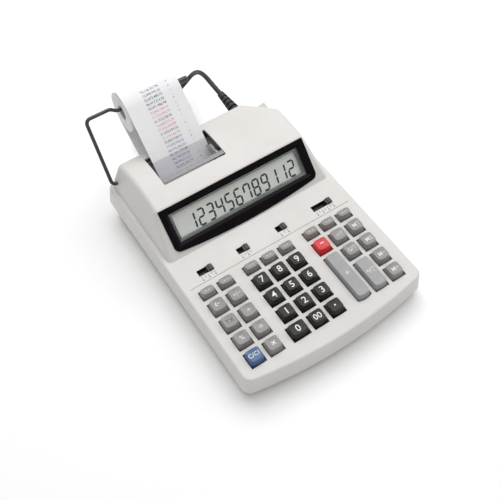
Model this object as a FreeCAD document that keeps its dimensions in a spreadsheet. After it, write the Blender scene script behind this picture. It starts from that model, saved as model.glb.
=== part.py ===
import FreeCAD, Part
import math
import os
import re

import Sketcher
from FreeCAD import Placement, Rotation, Vector

# Printing desk calculator, in millimetres.
# The part stands on its feet at z = 0, with x to the right and y towards the back.
# Everything but the mains lead is laid out on the deck: x across, v back along the key deck from
# the front corners, w square to the deck above the parting plane of the two case halves. The deck
# is tilted up towards the back by deck_tilt.

SIZES = {
    # case
    "case_width": 193.4,
    "case_depth": 250.0,
    "front_bow": 10.0,
    "case_round": 9.0,
    "wall": 2.4,
    "deck_rise": 20.3,
    "side_draft": 6.0,
    "deck_tilt": 3.1,
    "front_lift": 10.5,
    "foot_rise": 2.0,
    "front_y": -140.33,
    "groove_gap": 10.6,
    "groove_length": 175.0,
    "groove_width": 0.9,
    "groove_depth": 0.6,
    # screws, their bosses, and the feet
    "boss_radius": 4.2,
    "pilot_radius": 1.6,
    "screw_radius": 1.55,
    "head_radius": 2.8,
    "head_height": 1.5,
    "foot_radius": 7.0,
    # printer hump and display face
    "hump_base": 182.0,
    "hump_top": 160.0,
    "hump_front": 135.9,
    "hump_rear": 248.0,
    "hump_rear_top": 237.0,
    "hump_rise": 37.0,
    "hump_round": 5.0,
    "crown_radius": 150.0,
    "crown_middle": 198.0,
    "crown_top": 56.8,
    "display_angle": 45.0,
    "corner_x": 78.0,
    "corner_v": 236.0,
    "corner_lean": 28.0,
    # display
    "bezel_width": 157.4,
    "bezel_height": 46.0,
    "bezel_bow": 5.0,
    "bezel_round": 6.0,
    "bezel_thick": 2.2,
    "bezel_sink": 1.4,
    "window_width": 141.0,
    "window_height": 27.5,
    "window_low": 12.9,
    "lens_thick": 1.2,
    "lcd_depth": 3.5,
    "lcd_thick": 2.2,
    # keys
    "key_pitch": 19.0,
    "key_left": -76.0,
    "group_gap": 8.2,
    "last_gap": 9.2,
    "row_front": 17.1,
    "row_back": 91.2,
    "key_size": 14.8,
    "key_short": 9.8,
    "key_top": 25.8,
    "key_flange": 0.9,
    "key_travel": 3.0,
    "key_gap": 0.35,
    "key_round": 1.6,
    "key_bow": 1.5,
    "key_lean": 3.0,
    "board_top": 6.7,
    "board_front": 8.2,
    "board_width": 172.0,
    "board_depth": 91.0,
    "board_thick": 1.6,
    "mat_thick": 1.2,
    "dome_height": 3.0,
    "stem_radius": 2.8,
    "dish_radius": 34.0,
    # slide switches
    "slot_depth": 6.6,
    "slot_middle": 112.9,
    "knob_width": 6.0,
    "knob_depth": 5.8,
    # printer
    "exit_middle": -25.5,
    "exit_width": 66.0,
    "exit_front": 190.0,
    "exit_back": 229.0,
    "cover_back": 219.3,
    "cover_thick": 1.6,
    "frame_front": 188.0,
    "frame_depth": 46.0,
    "frame_low": 6.0,
    "plate_thick": 1.5,
    "axle_radius": 1.7,
    "platen_v": 203.0,
    "platen_w": 28.0,
    "platen_radius": 6.0,
    # paper
    "paper_width": 57.0,
    "paper_thick": 0.3,
    "roll_v": 275.0,
    "roll_w": 73.0,
    "roll_radius": 20.0,
    "core_radius": 8.0,
    "paper_gap": 0.45,
    "slot_v": 243.5,
    "slot_w": 28.5,
    "drape_end": 62.0,
    "drape_gap": 2.2,
    # wire holder
    "wire_radius": 1.75,
    "wire_left": -90.0,
    "wire_play": 5.0,
    "wire_crank": 6.0,
    "pivot_v": 236.0,
    "pivot_w": 31.0,
    "wire_low_left": -92.0,
    # mains lead
    "cord_radius": 2.5,
    "boot_x": 55.0,
    "boot_v": 246.0,
    "boot_w": 34.0,
    "boot_length": 30.0,
    "neck_radius": 4.4,
    "neck_length": 9.5,
    "rib_pitch": 5.6,
    "rib_gap": 2.4,
    "coil_x": 4.0,
    "coil_back": 168.0,
    "coil_outer": 35.0,
    "coil_inner": 20.0,
    "coil_height": 15.0,
    "plug_x": -6.0,
    "plug_width": 20.0,
    "plug_length": 34.0,
    "plug_height": 15.0,
    "plug_round": 3.5,
    "pin_radius": 2.2,
    "pin_length": 19.0,
    "pin_spread": 6.0,
}

# where the screws stand: x and v
SCREWS = [(-60, 3.5), (60, 3.5), (-88.8, 215), (88.8, 215)]

# where the feet stand: x, and the distance back from the front corners
FEET = [(-74, 22), (-74, 226), (74, 22), (74, 226)]

# the lead's route after its first straight run, in the part's own frame: it drops behind the case
# and turns in to the coil
LEAD_ROUTE = [(55.6, 158.6, 60.2), (56.4, 169.6, 58.4), (56.8, 179.6, 54.2), (56.6, 188.2, 47.8),
              (55.4, 195.4, 39.6), (53.0, 201.2, 30.4), (49.4, 206.0, 21.2), (44.2, 210.2, 12.8),
              (36.8, 213.8, 6.4), (27.4, 216.0, 3.3), (16.8, 215.6, 2.7), (6.6, 212.4, 2.7),
              (-2.6, 207.0, 2.7), (-11.2, 199.6, 2.7)]

COLUMNS = "ABCDEFGH"

doc = FreeCAD.newDocument("printing_calculator")
sheet = doc.addObject("Spreadsheet::Sheet", "Dims")
for line, (alias, value) in enumerate(SIZES.items(), start=1):
    sheet.set(f"A{line}", alias)
    sheet.set(f"B{line}", str(value))
    sheet.setAlias(f"B{line}", alias)
doc.recompute()


def size(alias):
    """The value of one driving dimension, read from the sheet."""
    return float(sheet.get(alias))


def worth(formula):
    """What a formula of the driving dimensions comes to now, worked out by the sheet."""
    sheet.set("D1", f"={formula}")
    sheet.recompute()
    return float(sheet.get("D1"))


def named(formula):
    """The formula with each driving dimension in it written as a cell of the sheet."""
    return re.sub("[a-z_]+", lambda word: f"Dims.{word[0]}" if word[0] in SIZES else word[0], formula)


def bind(obj, **formulas):
    """Bind properties of an object to formulas of the driving dimensions."""
    for path, formula in formulas.items():
        obj.setExpression(path.replace("__", "."), named(str(formula)))
    return obj


def tag(name):
    """A document name that is free, for a working object."""
    return f"w_{name}_{len(doc.Objects)}"


def at(obj, x=0, v=0, w=0):
    """Place a working object in deck coordinates."""
    return bind(obj, Placement__Base__x=x, Placement__Base__y=v, Placement__Base__z=w)


def block(name, x_mid, v_low, w_low, width, depth, height):
    """A box centred on x_mid across, from v_low back and from w_low up."""
    obj = doc.addObject("Part::Box", tag(name))
    bind(obj, Length=width, Width=depth, Height=height)
    return at(obj, f"{x_mid} - ( {width} ) / 2", v_low, w_low)


def rod(name, radius, length, x, v, w, axis="w"):
    """A cylinder from a point along one deck axis."""
    obj = doc.addObject("Part::Cylinder", tag(name))
    bind(obj, Radius=radius, Height=length)
    turn = {"w": Rotation(), "x": Rotation(Vector(0, 1, 0), 90), "v": Rotation(Vector(1, 0, 0), -90)}
    obj.Placement = Placement(Vector(), turn[axis])
    return at(obj, x, v, w)


def frustum(name, x_base, v_base, w_low, x_top, v_top, w_high):
    """A tapered block: (low, high) ranges across and back at its base and at its top."""
    obj = doc.addObject("Part::Wedge", tag(name))
    bind(obj, Xmin=x_base[0], Xmax=x_base[1], X2min=x_top[0], X2max=x_top[1])
    bind(obj, Zmin=f"-1 * ( {v_base[1]} )", Zmax=f"-1 * ( {v_base[0]} )")
    bind(obj, Z2min=f"-1 * ( {v_top[1]} )", Z2max=f"-1 * ( {v_top[0]} )")
    bind(obj, Ymin=0, Ymax=f"( {w_high} ) - ( {w_low} )")
    # the wedge grows along its own y, so it is stood up: its z then runs towards the front
    obj.Placement = Placement(Vector(), Rotation(Vector(1, 0, 0), 90))
    return bind(obj, Placement__Base__z=w_low)


def union(name, parts):
    """One solid from several that meet or overlap."""
    obj = doc.addObject("Part::MultiFuse", tag(name))
    obj.Shapes = parts
    return obj


def cut(name, base, *tools):
    """The base less the tools."""
    obj = doc.addObject("Part::Cut", tag(name))
    obj.Base = base
    obj.Tool = tools[0] if len(tools) == 1 else union(name, list(tools))
    return obj


def common(name, first, second):
    """What two solids share."""
    obj = doc.addObject("Part::Common", tag(name))
    obj.Base = first
    obj.Tool = second
    return obj


def rounded(name, base, radius, wanted):
    """Round the edges of the base that wanted(edge) picks."""
    doc.recompute()
    picked = [number for number, edge in enumerate(base.Shape.Edges, start=1) if wanted(edge)]
    if not picked:
        raise RuntimeError(f"{name}: no edge to round")
    obj = doc.addObject("Part::Fillet", tag(name))
    obj.Base = base
    obj.Edges = [(number, size(radius), size(radius)) for number in picked]
    return obj


def group(name, parts):
    """Several separate solids held as one sub-part."""
    obj = doc.addObject("Part::Compound", tag(name))
    obj.Links = parts
    return obj


def seated(obj, name, x=0, v=0, w=0, turn=0):
    """Finish a sub-part: name it and seat its deck coordinates on the tilted deck."""
    obj.Label = name
    obj.Placement = Placement(Vector(), Rotation(Vector(1, 0, 0), 1))
    bind(obj, Placement__Base__x=x)
    back = f"( {v} ) * cos(deck_tilt) - ( {w} ) * sin(deck_tilt)"
    rise = f"( {v} ) * sin(deck_tilt) + ( {w} ) * cos(deck_tilt)"
    bind(obj, Placement__Base__y=f"front_y + {back}", Placement__Base__z=f"front_lift + {rise}")
    obj.setExpression("Placement.Rotation.Angle", named(f"( deck_tilt + {turn} ) * 1deg"))
    PIECES.append(obj)
    return obj


def on_deck(x, v, w):
    """Where a deck point lies in the part's own frame."""
    tilt = math.radians(size("deck_tilt"))
    back = size("front_y") + v * math.cos(tilt) - w * math.sin(tilt)
    rise = size("front_lift") + v * math.sin(tilt) + w * math.cos(tilt)
    return Vector(x, back, rise)


PIECES = []


# ---------------------------------------------------------------- case


def bowed_prism(name, width, foot, depth, bow, height, draft, round_off, rounded_front_only):
    """A prism on a rectangle whose front side is bowed out: centred across, its front corners at foot."""
    body = doc.addObject("PartDesign::Body", tag(name))
    sketch = body.newObject("Sketcher::SketchObject", tag("outline"))
    plane = [item for item in body.Origin.OriginFeatures if item.Role == "XY_Plane"][0]
    sketch.AttachmentSupport = [(plane, "")]
    sketch.MapMode = "FlatFace"
    half, front, rear = worth(width) / 2, worth(foot), worth(f"( {foot} ) + ( {depth} )")
    corners = [Vector(-half, rear, 0), Vector(-half, front, 0), Vector(half, front, 0), Vector(half, rear, 0)]
    sketch.addGeometry(Part.LineSegment(corners[0], corners[1]))
    sketch.addGeometry(Part.Arc(corners[1], Vector(0, front - worth(bow), 0), corners[2]))
    sketch.addGeometry(Part.LineSegment(corners[2], corners[3]))
    sketch.addGeometry(Part.LineSegment(corners[3], corners[0]))
    for this, point, other, other_point in ((0, 2, 1, 1), (1, 2, 2, 1), (2, 2, 3, 1), (3, 2, 0, 1)):
        sketch.addConstraint(Sketcher.Constraint("Coincident", this, point, other, other_point))
    for edge in (0, 2):
        sketch.addConstraint(Sketcher.Constraint("Vertical", edge))
    sketch.addConstraint(Sketcher.Constraint("Horizontal", 3))
    sketch.addConstraint(Sketcher.Constraint("Symmetric", 0, 2, 2, 1, -2))
    radius = f"( ( ( {width} ) / 2 ) ^ 2 + ( {bow} ) ^ 2 ) / ( 2 * ( {bow} ) )"
    driven = [
        (Sketcher.Constraint("Distance", 3, 2 * half), width),
        (Sketcher.Constraint("Distance", 0, rear - front), depth),
        (Sketcher.Constraint("DistanceY", -1, 1, 0, 2, front), foot),
        (Sketcher.Constraint("Radius", 1, worth(radius)), radius),
    ]
    for constraint, formula in driven:
        number = sketch.addConstraint(constraint)
        sketch.setExpression(f"Constraints[{number}]", named(formula))
    pad = body.newObject("PartDesign::Pad", tag("pad"))
    pad.Profile = sketch
    bind(pad, Length=height, TaperAngle=f"-1 * ( {draft} )")
    doc.recompute()
    uprights = [f"Edge{number}" for number, edge in enumerate(pad.Shape.Edges, start=1)
                if edge.BoundBox.ZLength > 0.9 * worth(height)
                and (edge.BoundBox.YMax < (front + rear) / 2 or not rounded_front_only)]
    corner = body.newObject("PartDesign::Fillet", tag("corners"))
    corner.Base = (pad, uprights)
    bind(corner, Radius=round_off)
    body.Tip = corner
    return body


def case_block(name, inset, low, height, draft):
    """A prism on the case's outline, drawn in by inset, with drafted sides."""
    body = bowed_prism(name, f"case_width - 2 * {inset}", inset, f"case_depth - 2 * {inset}",
                       "front_bow", height, draft, f"case_round - {inset} / 2", False)
    return at(body, 0, 0, low)


def hump(name, inset):
    """The raised block over the printer, drawn in by inset: tapered sides, crowned top, sloped face."""
    half_base = f"hump_base / 2 - {inset}"
    half_top = f"hump_top / 2 - {inset}"
    low = "deck_rise - 2 * wall"
    high = "deck_rise + hump_rise + wall"
    solid = frustum(name, (f"-1 * ( {half_base} )", half_base), ("hump_front - 30", f"hump_rear - {inset}"),
                    low, (f"-1 * ( {half_top} )", half_top), ("hump_front - 30", f"hump_rear_top - {inset}"),
                    high)
    crown = rod(name, f"crown_radius - {inset}", "2 * case_width", "-1 * case_width", "crown_middle",
                "crown_top - crown_radius", "x")
    solid = common(name, solid, crown)
    # the display face is the top of a long block turned about the line where the face meets the deck
    face = doc.addObject("Part::Box", tag(name))
    bind(face, Length="2 * case_width", Width=300, Height=120)
    face.Placement = Placement(Vector(), Rotation(Vector(1, 0, 0), 45))
    bind(face, Placement__Base__x="-1 * case_width",
         Placement__Base__y=f"hump_front + {inset} * sqrt(2) - 100 * cos(display_angle)",
         Placement__Base__z="deck_rise - 100 * sin(display_angle)")
    face.setExpression("Placement.Rotation.Angle", named("display_angle * 1deg"))
    solid = cut(name, solid, face)
    # the right-hand rear corner is cut off across and leans in towards the top
    corner = doc.addObject("Part::Box", tag(name))
    bind(corner, Length=80, Width=80, Height=120)
    lean = Rotation(Vector(1, 0, 0), size("corner_lean"))
    corner.Placement = Placement(Vector(), Rotation(Vector(0, 0, 1), -45) * lean)
    at(corner, f"corner_x - ( 40 + {inset} ) * cos(45)", f"corner_v + ( 40 - {inset} ) * cos(45)",
       f"deck_rise + 4 - {inset}")
    return cut(name, solid, corner)


def key_table():
    """Every key: its name, middle x, middle v, width and depth, as formulas."""
    gaps = {"A": "0", "B": "0", "C": "group_gap", "D": "group_gap", "E": "group_gap"}
    keys = []
    for number, column in enumerate(COLUMNS):
        gap = gaps.get(column, "( group_gap + last_gap )")
        x_mid = f"key_left + {number} * key_pitch + {gap}"
        keys.append((f"key_{column.lower()}0", x_mid, "row_back", "key_size", "key_short"))
        for row in range(1, 5):
            v_mid = f"row_front + {4 - row} * key_pitch"
            if (column, row) in (("F", 2), ("G", 3)):
                rows = 5 - row
                tall = f"( key_size + {rows - 1} * key_pitch )"
                keys.append((f"key_{column.lower()}{row}", x_mid, f"row_front + {(rows - 1) / 2} * key_pitch",
                             "key_size", tall))
            elif column not in "FG" or row < (2 if column == "F" else 3):
                wider = 3 if (column, row) == ("C", 4) else 0
                keys.append((f"key_{column.lower()}{row}", f"{x_mid} - {wider / 2}", v_mid,
                             f"( key_size + {wider} )", "key_size"))
    return keys


def switch_table():
    """Every slide switch: its name, the slot's left and right ends."""
    return [("switch_rounding", "-73.4", "-57.7"), ("switch_decimal", "-31.1", "-18.9"),
            ("switch_total", "11.9", "22.8"), ("switch_mode", "53.5", "75.2")]


def bowed(name, base, x_mid, v_front, width, lean):
    """The base with its corners cut back to a round front, which leans back by its top."""
    low, high = "deck_rise - wall - 0.6", "key_top"
    radius = f"( ( {width} ) * ( {width} ) / 4 + key_bow * key_bow ) / ( 2 * key_bow )"
    core = doc.addObject("Part::Cone", tag(name))
    bind(core, Radius1=radius, Radius2=f"{radius} - {lean} + 0.0001", Height=f"{high} - ( {low} )")
    at(core, x_mid, f"{v_front} + {radius}", low)
    strip = block(name, x_mid, f"{v_front} - 1", low, f"( {width} + 4 )", f"( {lean} + key_bow + 1 )",
                  f"( {high} - ( {low} ) )")
    return cut(name, base, cut(name, strip, core))


def make_upper_case():
    """The cover: deck and hump as one shell, with every opening that something passes through."""
    outer = case_block("cover", "0", "0", "deck_rise", "side_draft")
    outer = rounded("deck_edge", outer, "wall", lambda edge: edge.BoundBox.ZMin > size("deck_rise") - 0.01)
    raised = rounded("hump_edge", hump("hump", "0"), "hump_round", hump_ridge)
    shell = union("cover", [outer, raised])
    hollow = case_block("hollow", "wall", "-1", "deck_rise - wall + 1", "side_draft")
    shell = cut("cover", shell, hollow, hump("hollow", "wall"))
    bosses = [rod("boss", "boss_radius", "deck_rise - 1", f"{x}", f"{v}", "0") for x, v in SCREWS]
    shell = union("cover", [shell] + bosses)
    tools = [rod("pilot", "pilot_radius", "10", f"{x}", f"{v}", "-0.5") for x, v in SCREWS]
    for _, x_mid, v_mid, width, depth in key_table():
        hole_width, hole_depth = f"( {width} + 2 * key_gap )", f"( {depth} + 2 * key_gap )"
        front = f"{v_mid} - {hole_depth} / 2"
        hole = block("key_hole", x_mid, front, "deck_rise - wall - 0.6", hole_width, hole_depth, "4")
        tools.append(bowed("key_hole", hole, x_mid, front, hole_width, "0"))
    for _, left, right in switch_table():
        tools.append(block("slot", f"( {left} + {right} ) / 2", "slot_middle - slot_depth / 2",
                           "deck_rise - 2 * wall", f"( {right} - {left} )", "slot_depth", "4 * wall"))
    # the groove between the keys and the switches
    tools.append(block("groove", "0", "row_back + groove_gap", "deck_rise - groove_depth", "groove_length",
                       "groove_width", "2"))
    # the printer's opening, the feed slot in the rear wall, and the holes for the wire and the lead
    tools.append(block("exit", "exit_middle", "exit_front", "deck_rise + hump_rise - 12",
                       "exit_width", "exit_back - exit_front", "20"))
    tools.append(block("feed_slot", "exit_middle", "hump_rear - 12", "slot_w - 2.5", "paper_width + 4", "20",
                       "5"))
    tools.append(rod("wire_hole", "wire_radius + 0.05", "20", "wire_low_left - 4", "pivot_v", "pivot_w",
                     "x"))
    tools.append(rod("lead_hole", "neck_radius + 0.1", "30", "boot_x", "hump_rear - 22", "boot_w", "v"))
    # the recess that the display bezel lies in
    recess = bezel_blank("recess", "0.15", "bezel_sink + 0.1", "6")
    through = block("through", "0", "window_low - 2", "-14", "window_width + 4", "window_height + 4", "20")
    for piece in (recess, through):
        # held in a group, which takes the slope while the piece keeps its own height off the face
        tools.append(on_display(group("recess", [piece])))
    seated(cut("cover", shell, *tools), "upper_case")


def hump_ridge(edge):
    """Whether an edge of the hump is one of its rounded ridges."""
    box = edge.BoundBox
    return box.ZMax > size("deck_rise") + 20 and edge.Length > 3


def on_display(obj):
    """Place a working object, drawn flat, on the display face: its y climbs the slope."""
    obj.Placement = Placement(Vector(), Rotation(Vector(1, 0, 0), 45))
    bind(obj, Placement__Base__y="hump_front", Placement__Base__z="deck_rise")
    obj.setExpression("Placement.Rotation.Angle", named("display_angle * 1deg"))
    return obj


def bezel_blank(name, grow, sink, height):
    """A plate on the bezel's outline, grown all round: straight top, rounded lower corners, bowed foot."""
    body = bowed_prism(name, f"bezel_width + 2 * {grow}", f"bezel_bow + 1 - {grow}",
                       f"bezel_height - bezel_bow + 2 * {grow}", "bezel_bow", height, "0", "bezel_round", True)
    return at(body, 0, 0, f"-1 * ( {sink} )")


def make_lower_case():
    """The base tray: a wedge between the parting plane and the desk, with posts for the board."""
    outer = case_block("tray", "1.2", "0", "40", "8")
    hollow = case_block("tray_hollow", "3.6", "-1", "45", "8")
    for obj in (outer, hollow):
        obj.Placement = Placement(Vector(), Rotation(Vector(0, 1, 0), 180))
    bind(hollow, Placement__Base__z="1")
    tray = cut("tray", outer, level_block("under", "foot_rise - 100"))
    hollow = cut("hollow", hollow, level_block("floor", "foot_rise + wall - 100"))
    tray = cut("tray", tray, hollow)
    posts = []
    for x in (-62, 62):
        for v in (24, 90):
            posts.append(rod("post", "3.5", "40", f"{x}", f"{v}", "board_top - board_thick - 40"))
    for x in ("exit_middle - 28", "exit_middle + 28"):
        for v in (194, 228):
            posts.append(rod("post", "4", "60", x, f"{v}", "6 - 60"))
    for x, v in ((14, 146), (74, 146), (14, 190), (74, 190)):
        posts.append(rod("post", "3", "60", f"{x}", f"{v}", "-6 - 60"))
    posts.append(block("shelf", "55", "206", "-12 - 40", "36", "26", "40"))
    for x, v in SCREWS:
        posts.append(rod("boss", "boss_radius + 0.2", "60", f"{x}", f"{v}", "-60"))
    posts = cut("posts", union("posts", posts), level_block("under", "foot_rise + 1 - 100"))
    tray = union("tray", [tray, posts])
    screw_holes = []
    for x, v in SCREWS:
        under = screw_seat(v)
        screw_holes.append(rod("screw_hole", "screw_radius + 0.15", "90", f"{x}", f"{v}", "-60"))
        screw_holes.append(rod("head_hole", "head_radius + 0.3", "60", f"{x}", f"{v}",
                               f"{under} + head_height - 60"))
    seated(cut("tray", tray, *screw_holes), "lower_case")


def level_block(name, low):
    """A wide block with a level top 100 above low, however the deck is tilted."""
    obj = doc.addObject("Part::Box", tag(name))
    bind(obj, Length=600, Width=600, Height=100)
    obj.Placement = Placement(Vector(), Rotation(Vector(-1, 0, 0), 1))
    shift = f"( {low} - front_lift )"
    bind(obj, Placement__Base__x=-300,
         Placement__Base__y=f"{shift} * sin(deck_tilt) - 200 * cos(deck_tilt)",
         Placement__Base__z=f"{shift} * cos(deck_tilt) + 200 * sin(deck_tilt)")
    obj.setExpression("Placement.Rotation.Angle", named("deck_tilt * 1deg"))
    return obj


def screw_seat(v):
    """How far below the parting plane the head of the screw at v ends."""
    return f"( foot_rise + 0.9 - front_lift ) / cos(deck_tilt) - {v} * tan(deck_tilt)"


def make_screws_and_feet():
    """Four screws that pull the halves together, and four rubber feet, under the tray."""
    screws = []
    for x, v in SCREWS:
        under = screw_seat(v)
        shank = rod("shank", "screw_radius", f"9 - ( {under} )", f"{x}", f"{v}", under)
        head = rod("head", "head_radius", "head_height", f"{x}", f"{v}", under)
        screws.append(union("screw", [shank, head]))
    seated(group("screws", screws), "case_screws")
    feet = []
    for x, back in FEET:
        foot = doc.addObject("Part::Cylinder", tag("foot"))
        bind(foot, Radius="foot_radius", Height="foot_rise")
        feet.append(at(foot, x, f"front_y + {back}", 0))
    feet = group("feet", feet)
    feet.Label = "rubber_feet"
    PIECES.append(feet)


def make_display():
    """The bezel, its lens, and the liquid crystal panel in its holder, laid out on the display face."""
    bezel = bezel_blank("bezel", "0", "bezel_sink", "bezel_thick")
    high = "window_low + window_height"
    window = frustum("window", ("-1 * window_width / 2", "window_width / 2"), ("window_low", high),
                     "-1 * bezel_sink - 0.1", ("-1 * window_width / 2 - 3.4", "window_width / 2 + 3.4"),
                     ("window_low - 3", f"{high} + 2.6"), "bezel_thick - bezel_sink + 0.1")
    on_face(cut("bezel", bezel, window), "display_bezel")
    lens_low = "-1 * bezel_sink - lens_thick"
    lens = block("lens", "0", "window_low - 1.4", lens_low, "window_width + 2.8", "window_height + 2.8",
                 "lens_thick")
    on_face(group("lens", [lens]), "display_lens")
    panel_low = f"{lens_low} - lcd_depth - lcd_thick"
    holder = block("holder", "0", "window_low - 1.2", panel_low, "window_width + 2.4", "window_height + 2.4",
                   "lcd_depth + lcd_thick")
    well = block("well", "0", "window_low + 2.2", f"{panel_low} - 1", "window_width - 5", "window_height - 4.4",
                 "lcd_depth + lcd_thick + 2")
    glass = block("glass", "0", "window_low + 2.2", panel_low, "window_width - 5", "window_height - 4.4",
                  "lcd_thick")
    on_face(group("lcd", [cut("holder", holder, well), glass]), "lcd_panel")


def on_face(obj, name):
    """Seat a sub-part drawn flat on the display face."""
    return seated(obj, name, 0, "hump_front", "deck_rise", "display_angle")


def make_keys():
    """Each key: a tapered, dished cap with a flange under the deck and a stem over its dome."""
    for name, x_mid, v_mid, width, depth in key_table():
        low = "deck_rise - wall - 0.6"
        front = f"{v_mid} - {depth} / 2"
        cap = frustum(name, (f"{x_mid} - {width} / 2", f"{x_mid} + {width} / 2"),
                      (front, f"{v_mid} + {depth} / 2"), low,
                      (f"{x_mid} - {width} / 2 + 1.5", f"{x_mid} + {width} / 2 - 1.5"),
                      (front, f"{v_mid} + {depth} / 2 - 1.2"), "key_top")
        cap = bowed(name, cap, x_mid, front, width, "key_lean")
        cap = rounded(name, cap, "key_round", lambda edge: edge.BoundBox.ZLength > 5)
        dish = rod("dish", "dish_radius", "100", x_mid, f"{v_mid} - 50", "key_top + dish_radius - 0.5", "v")
        flange = block("flange", x_mid, f"{v_mid} - {depth} / 2 - key_flange", f"{low} - 1.1",
                       f"( {width} + 2 * key_flange )", f"( {depth} + 2 * key_flange )", "1.1")
        stem = rod("stem", "stem_radius", "5", x_mid, v_mid, "board_top + mat_thick + key_travel + 0.8")
        seated(union(name, [cut(name, cap, dish), flange, stem]), name)


def make_switches():
    """The knobs of the four slide switches, each at the right-hand end of its slot."""
    for name, _, right in switch_table():
        x_mid = f"{right} - knob_width / 2 - 0.2"
        knob = block("knob", x_mid, "slot_middle - knob_depth / 2", "deck_rise - wall - 0.6", "knob_width",
                     "knob_depth", "wall + 2.1")
        ridge = block("ridge", x_mid, "slot_middle - knob_depth / 2", "deck_rise", "2", "knob_depth", "2.4")
        base = block("base", x_mid, "slot_middle - 4.6", "deck_rise - wall - 1.7", "knob_width + 1.5", "9.2",
                     "1.2")
        seated(union(name, [knob, ridge, base]), name)


def make_boards():
    """The rubber key mat with a dome ring for each stem, and the boards with what they carry."""
    mat = block("mat", "0", "board_front", "board_top", "board_width", "board_depth", "mat_thick")
    rings, bores = [], []
    for _, x_mid, v_mid, _, _ in key_table():
        rings.append(rod("ring", "stem_radius + 1.5", "dome_height", x_mid, v_mid,
                         "board_top + mat_thick - 0.2"))
        bores.append(rod("bore", "stem_radius + 0.5", "5", x_mid, v_mid, "board_top + mat_thick"))
    seated(cut("mat", union("mat", [mat] + rings), *bores), "key_mat")
    board = block("board", "0", "board_front", "board_top - board_thick", "board_width", "board_depth",
                  "board_thick")
    rear_board = block("rear_board", "44", "140", "-4.4 - board_thick", "74", "56", "board_thick")
    coupler = block("coupler", "12", "150", "-4.4", "8", "30", "7")
    store = rod("store", "6", "18", "30", "160", "-4.4")
    chip = block("chip", "52", "150", "-4.4", "28", "14", "3")
    core = block("core", "55", "204", "-12", "40", "30", "28")
    winding = block("winding", "55", "199.5", "-8", "26", "4.5", "20")
    seated(group("boards", [board, rear_board, coupler, store, chip, core, winding]), "main_board")


def make_printer():
    """The printer: its frame with head, ink roller and motor, the platen, and the smoky cover."""
    left = "exit_middle - paper_width / 2 - 3"
    right = "exit_middle + paper_width / 2 + 3"
    plates = []
    for side in (f"{left} - plate_thick / 2", f"{right} + plate_thick / 2"):
        plates.append(block("plate", side, "frame_front", "frame_low + 1", "plate_thick", "frame_depth", "38"))
    pan = block("pan", "exit_middle", "frame_front", "frame_low", "paper_width + 9", "frame_depth",
                "plate_thick")
    bearing = rod("bearing", "axle_radius + 0.05", "100", "exit_middle - 50", "platen_v", "platen_w", "x")
    frame = cut("frame", union("frame", plates + [pan]), bearing)
    head = block("head", "exit_middle - 12", "190.5", "22", "14", "5", "14")
    rail = rod("rail", "1.2", "paper_width + 6", left, "192", "18", "x")
    ink = rod("ink", "4.6", "16", "exit_middle + 6", "191.2", "41", "x")
    motor = rod("motor", "7.5", "26", "exit_middle + 4", "225", "36", "x")
    seated(group("printer", [frame, head, rail, ink, motor]), "printer_frame")
    tube = rod("rubber", "platen_radius", "paper_width + 4", f"{left} + 1", "platen_v", "platen_w", "x")
    axle = rod("axle", "axle_radius", "paper_width + 12", f"{left} - 3", "platen_v", "platen_w", "x")
    gear = rod("gear", "7", "2.4", f"{right} + 2.2", "platen_v", "platen_w", "x")
    seated(union("platen", [tube, axle, gear]), "platen_roller")
    crown_low = "crown_top - crown_radius"
    outside = rod("outside", "crown_radius", "200", "-100", "crown_middle", crown_low, "x")
    inside = rod("inside", "crown_radius - cover_thick", "200", "-100", "crown_middle", crown_low, "x")
    reach = block("reach", "exit_middle", "exit_front + 1", "40", "exit_width - 0.8",
                  "cover_back - exit_front - 1", "40")
    skin = common("cover", cut("cover", outside, inside), reach)
    pivot = rod("pivot", "0.9", "exit_width - 0.8", "exit_middle - exit_width / 2 + 0.4", "exit_front + 2.2",
                "crown_top - cover_thick", "x")
    seated(union("cover", [skin, pivot]), "printer_cover")


def circle_point(centre, radius, angle):
    """A point on a circle across x; the angle is in degrees from v towards w."""
    return Vector(centre.x, centre.y + radius * math.cos(math.radians(angle)),
                  centre.z + radius * math.sin(math.radians(angle)))


def bearing_of(start, end):
    """The direction from one point to another in the plane of v and w, in degrees."""
    return math.degrees(math.atan2(end.z - start.z, end.y - start.y))


def arc_about(centre, radius, first, last):
    """An arc about a centre from one angle to another."""
    points = [circle_point(centre, radius, angle) for angle in (first, (first + last) / 2, last)]
    return Part.Arc(*points).toShape()


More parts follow.
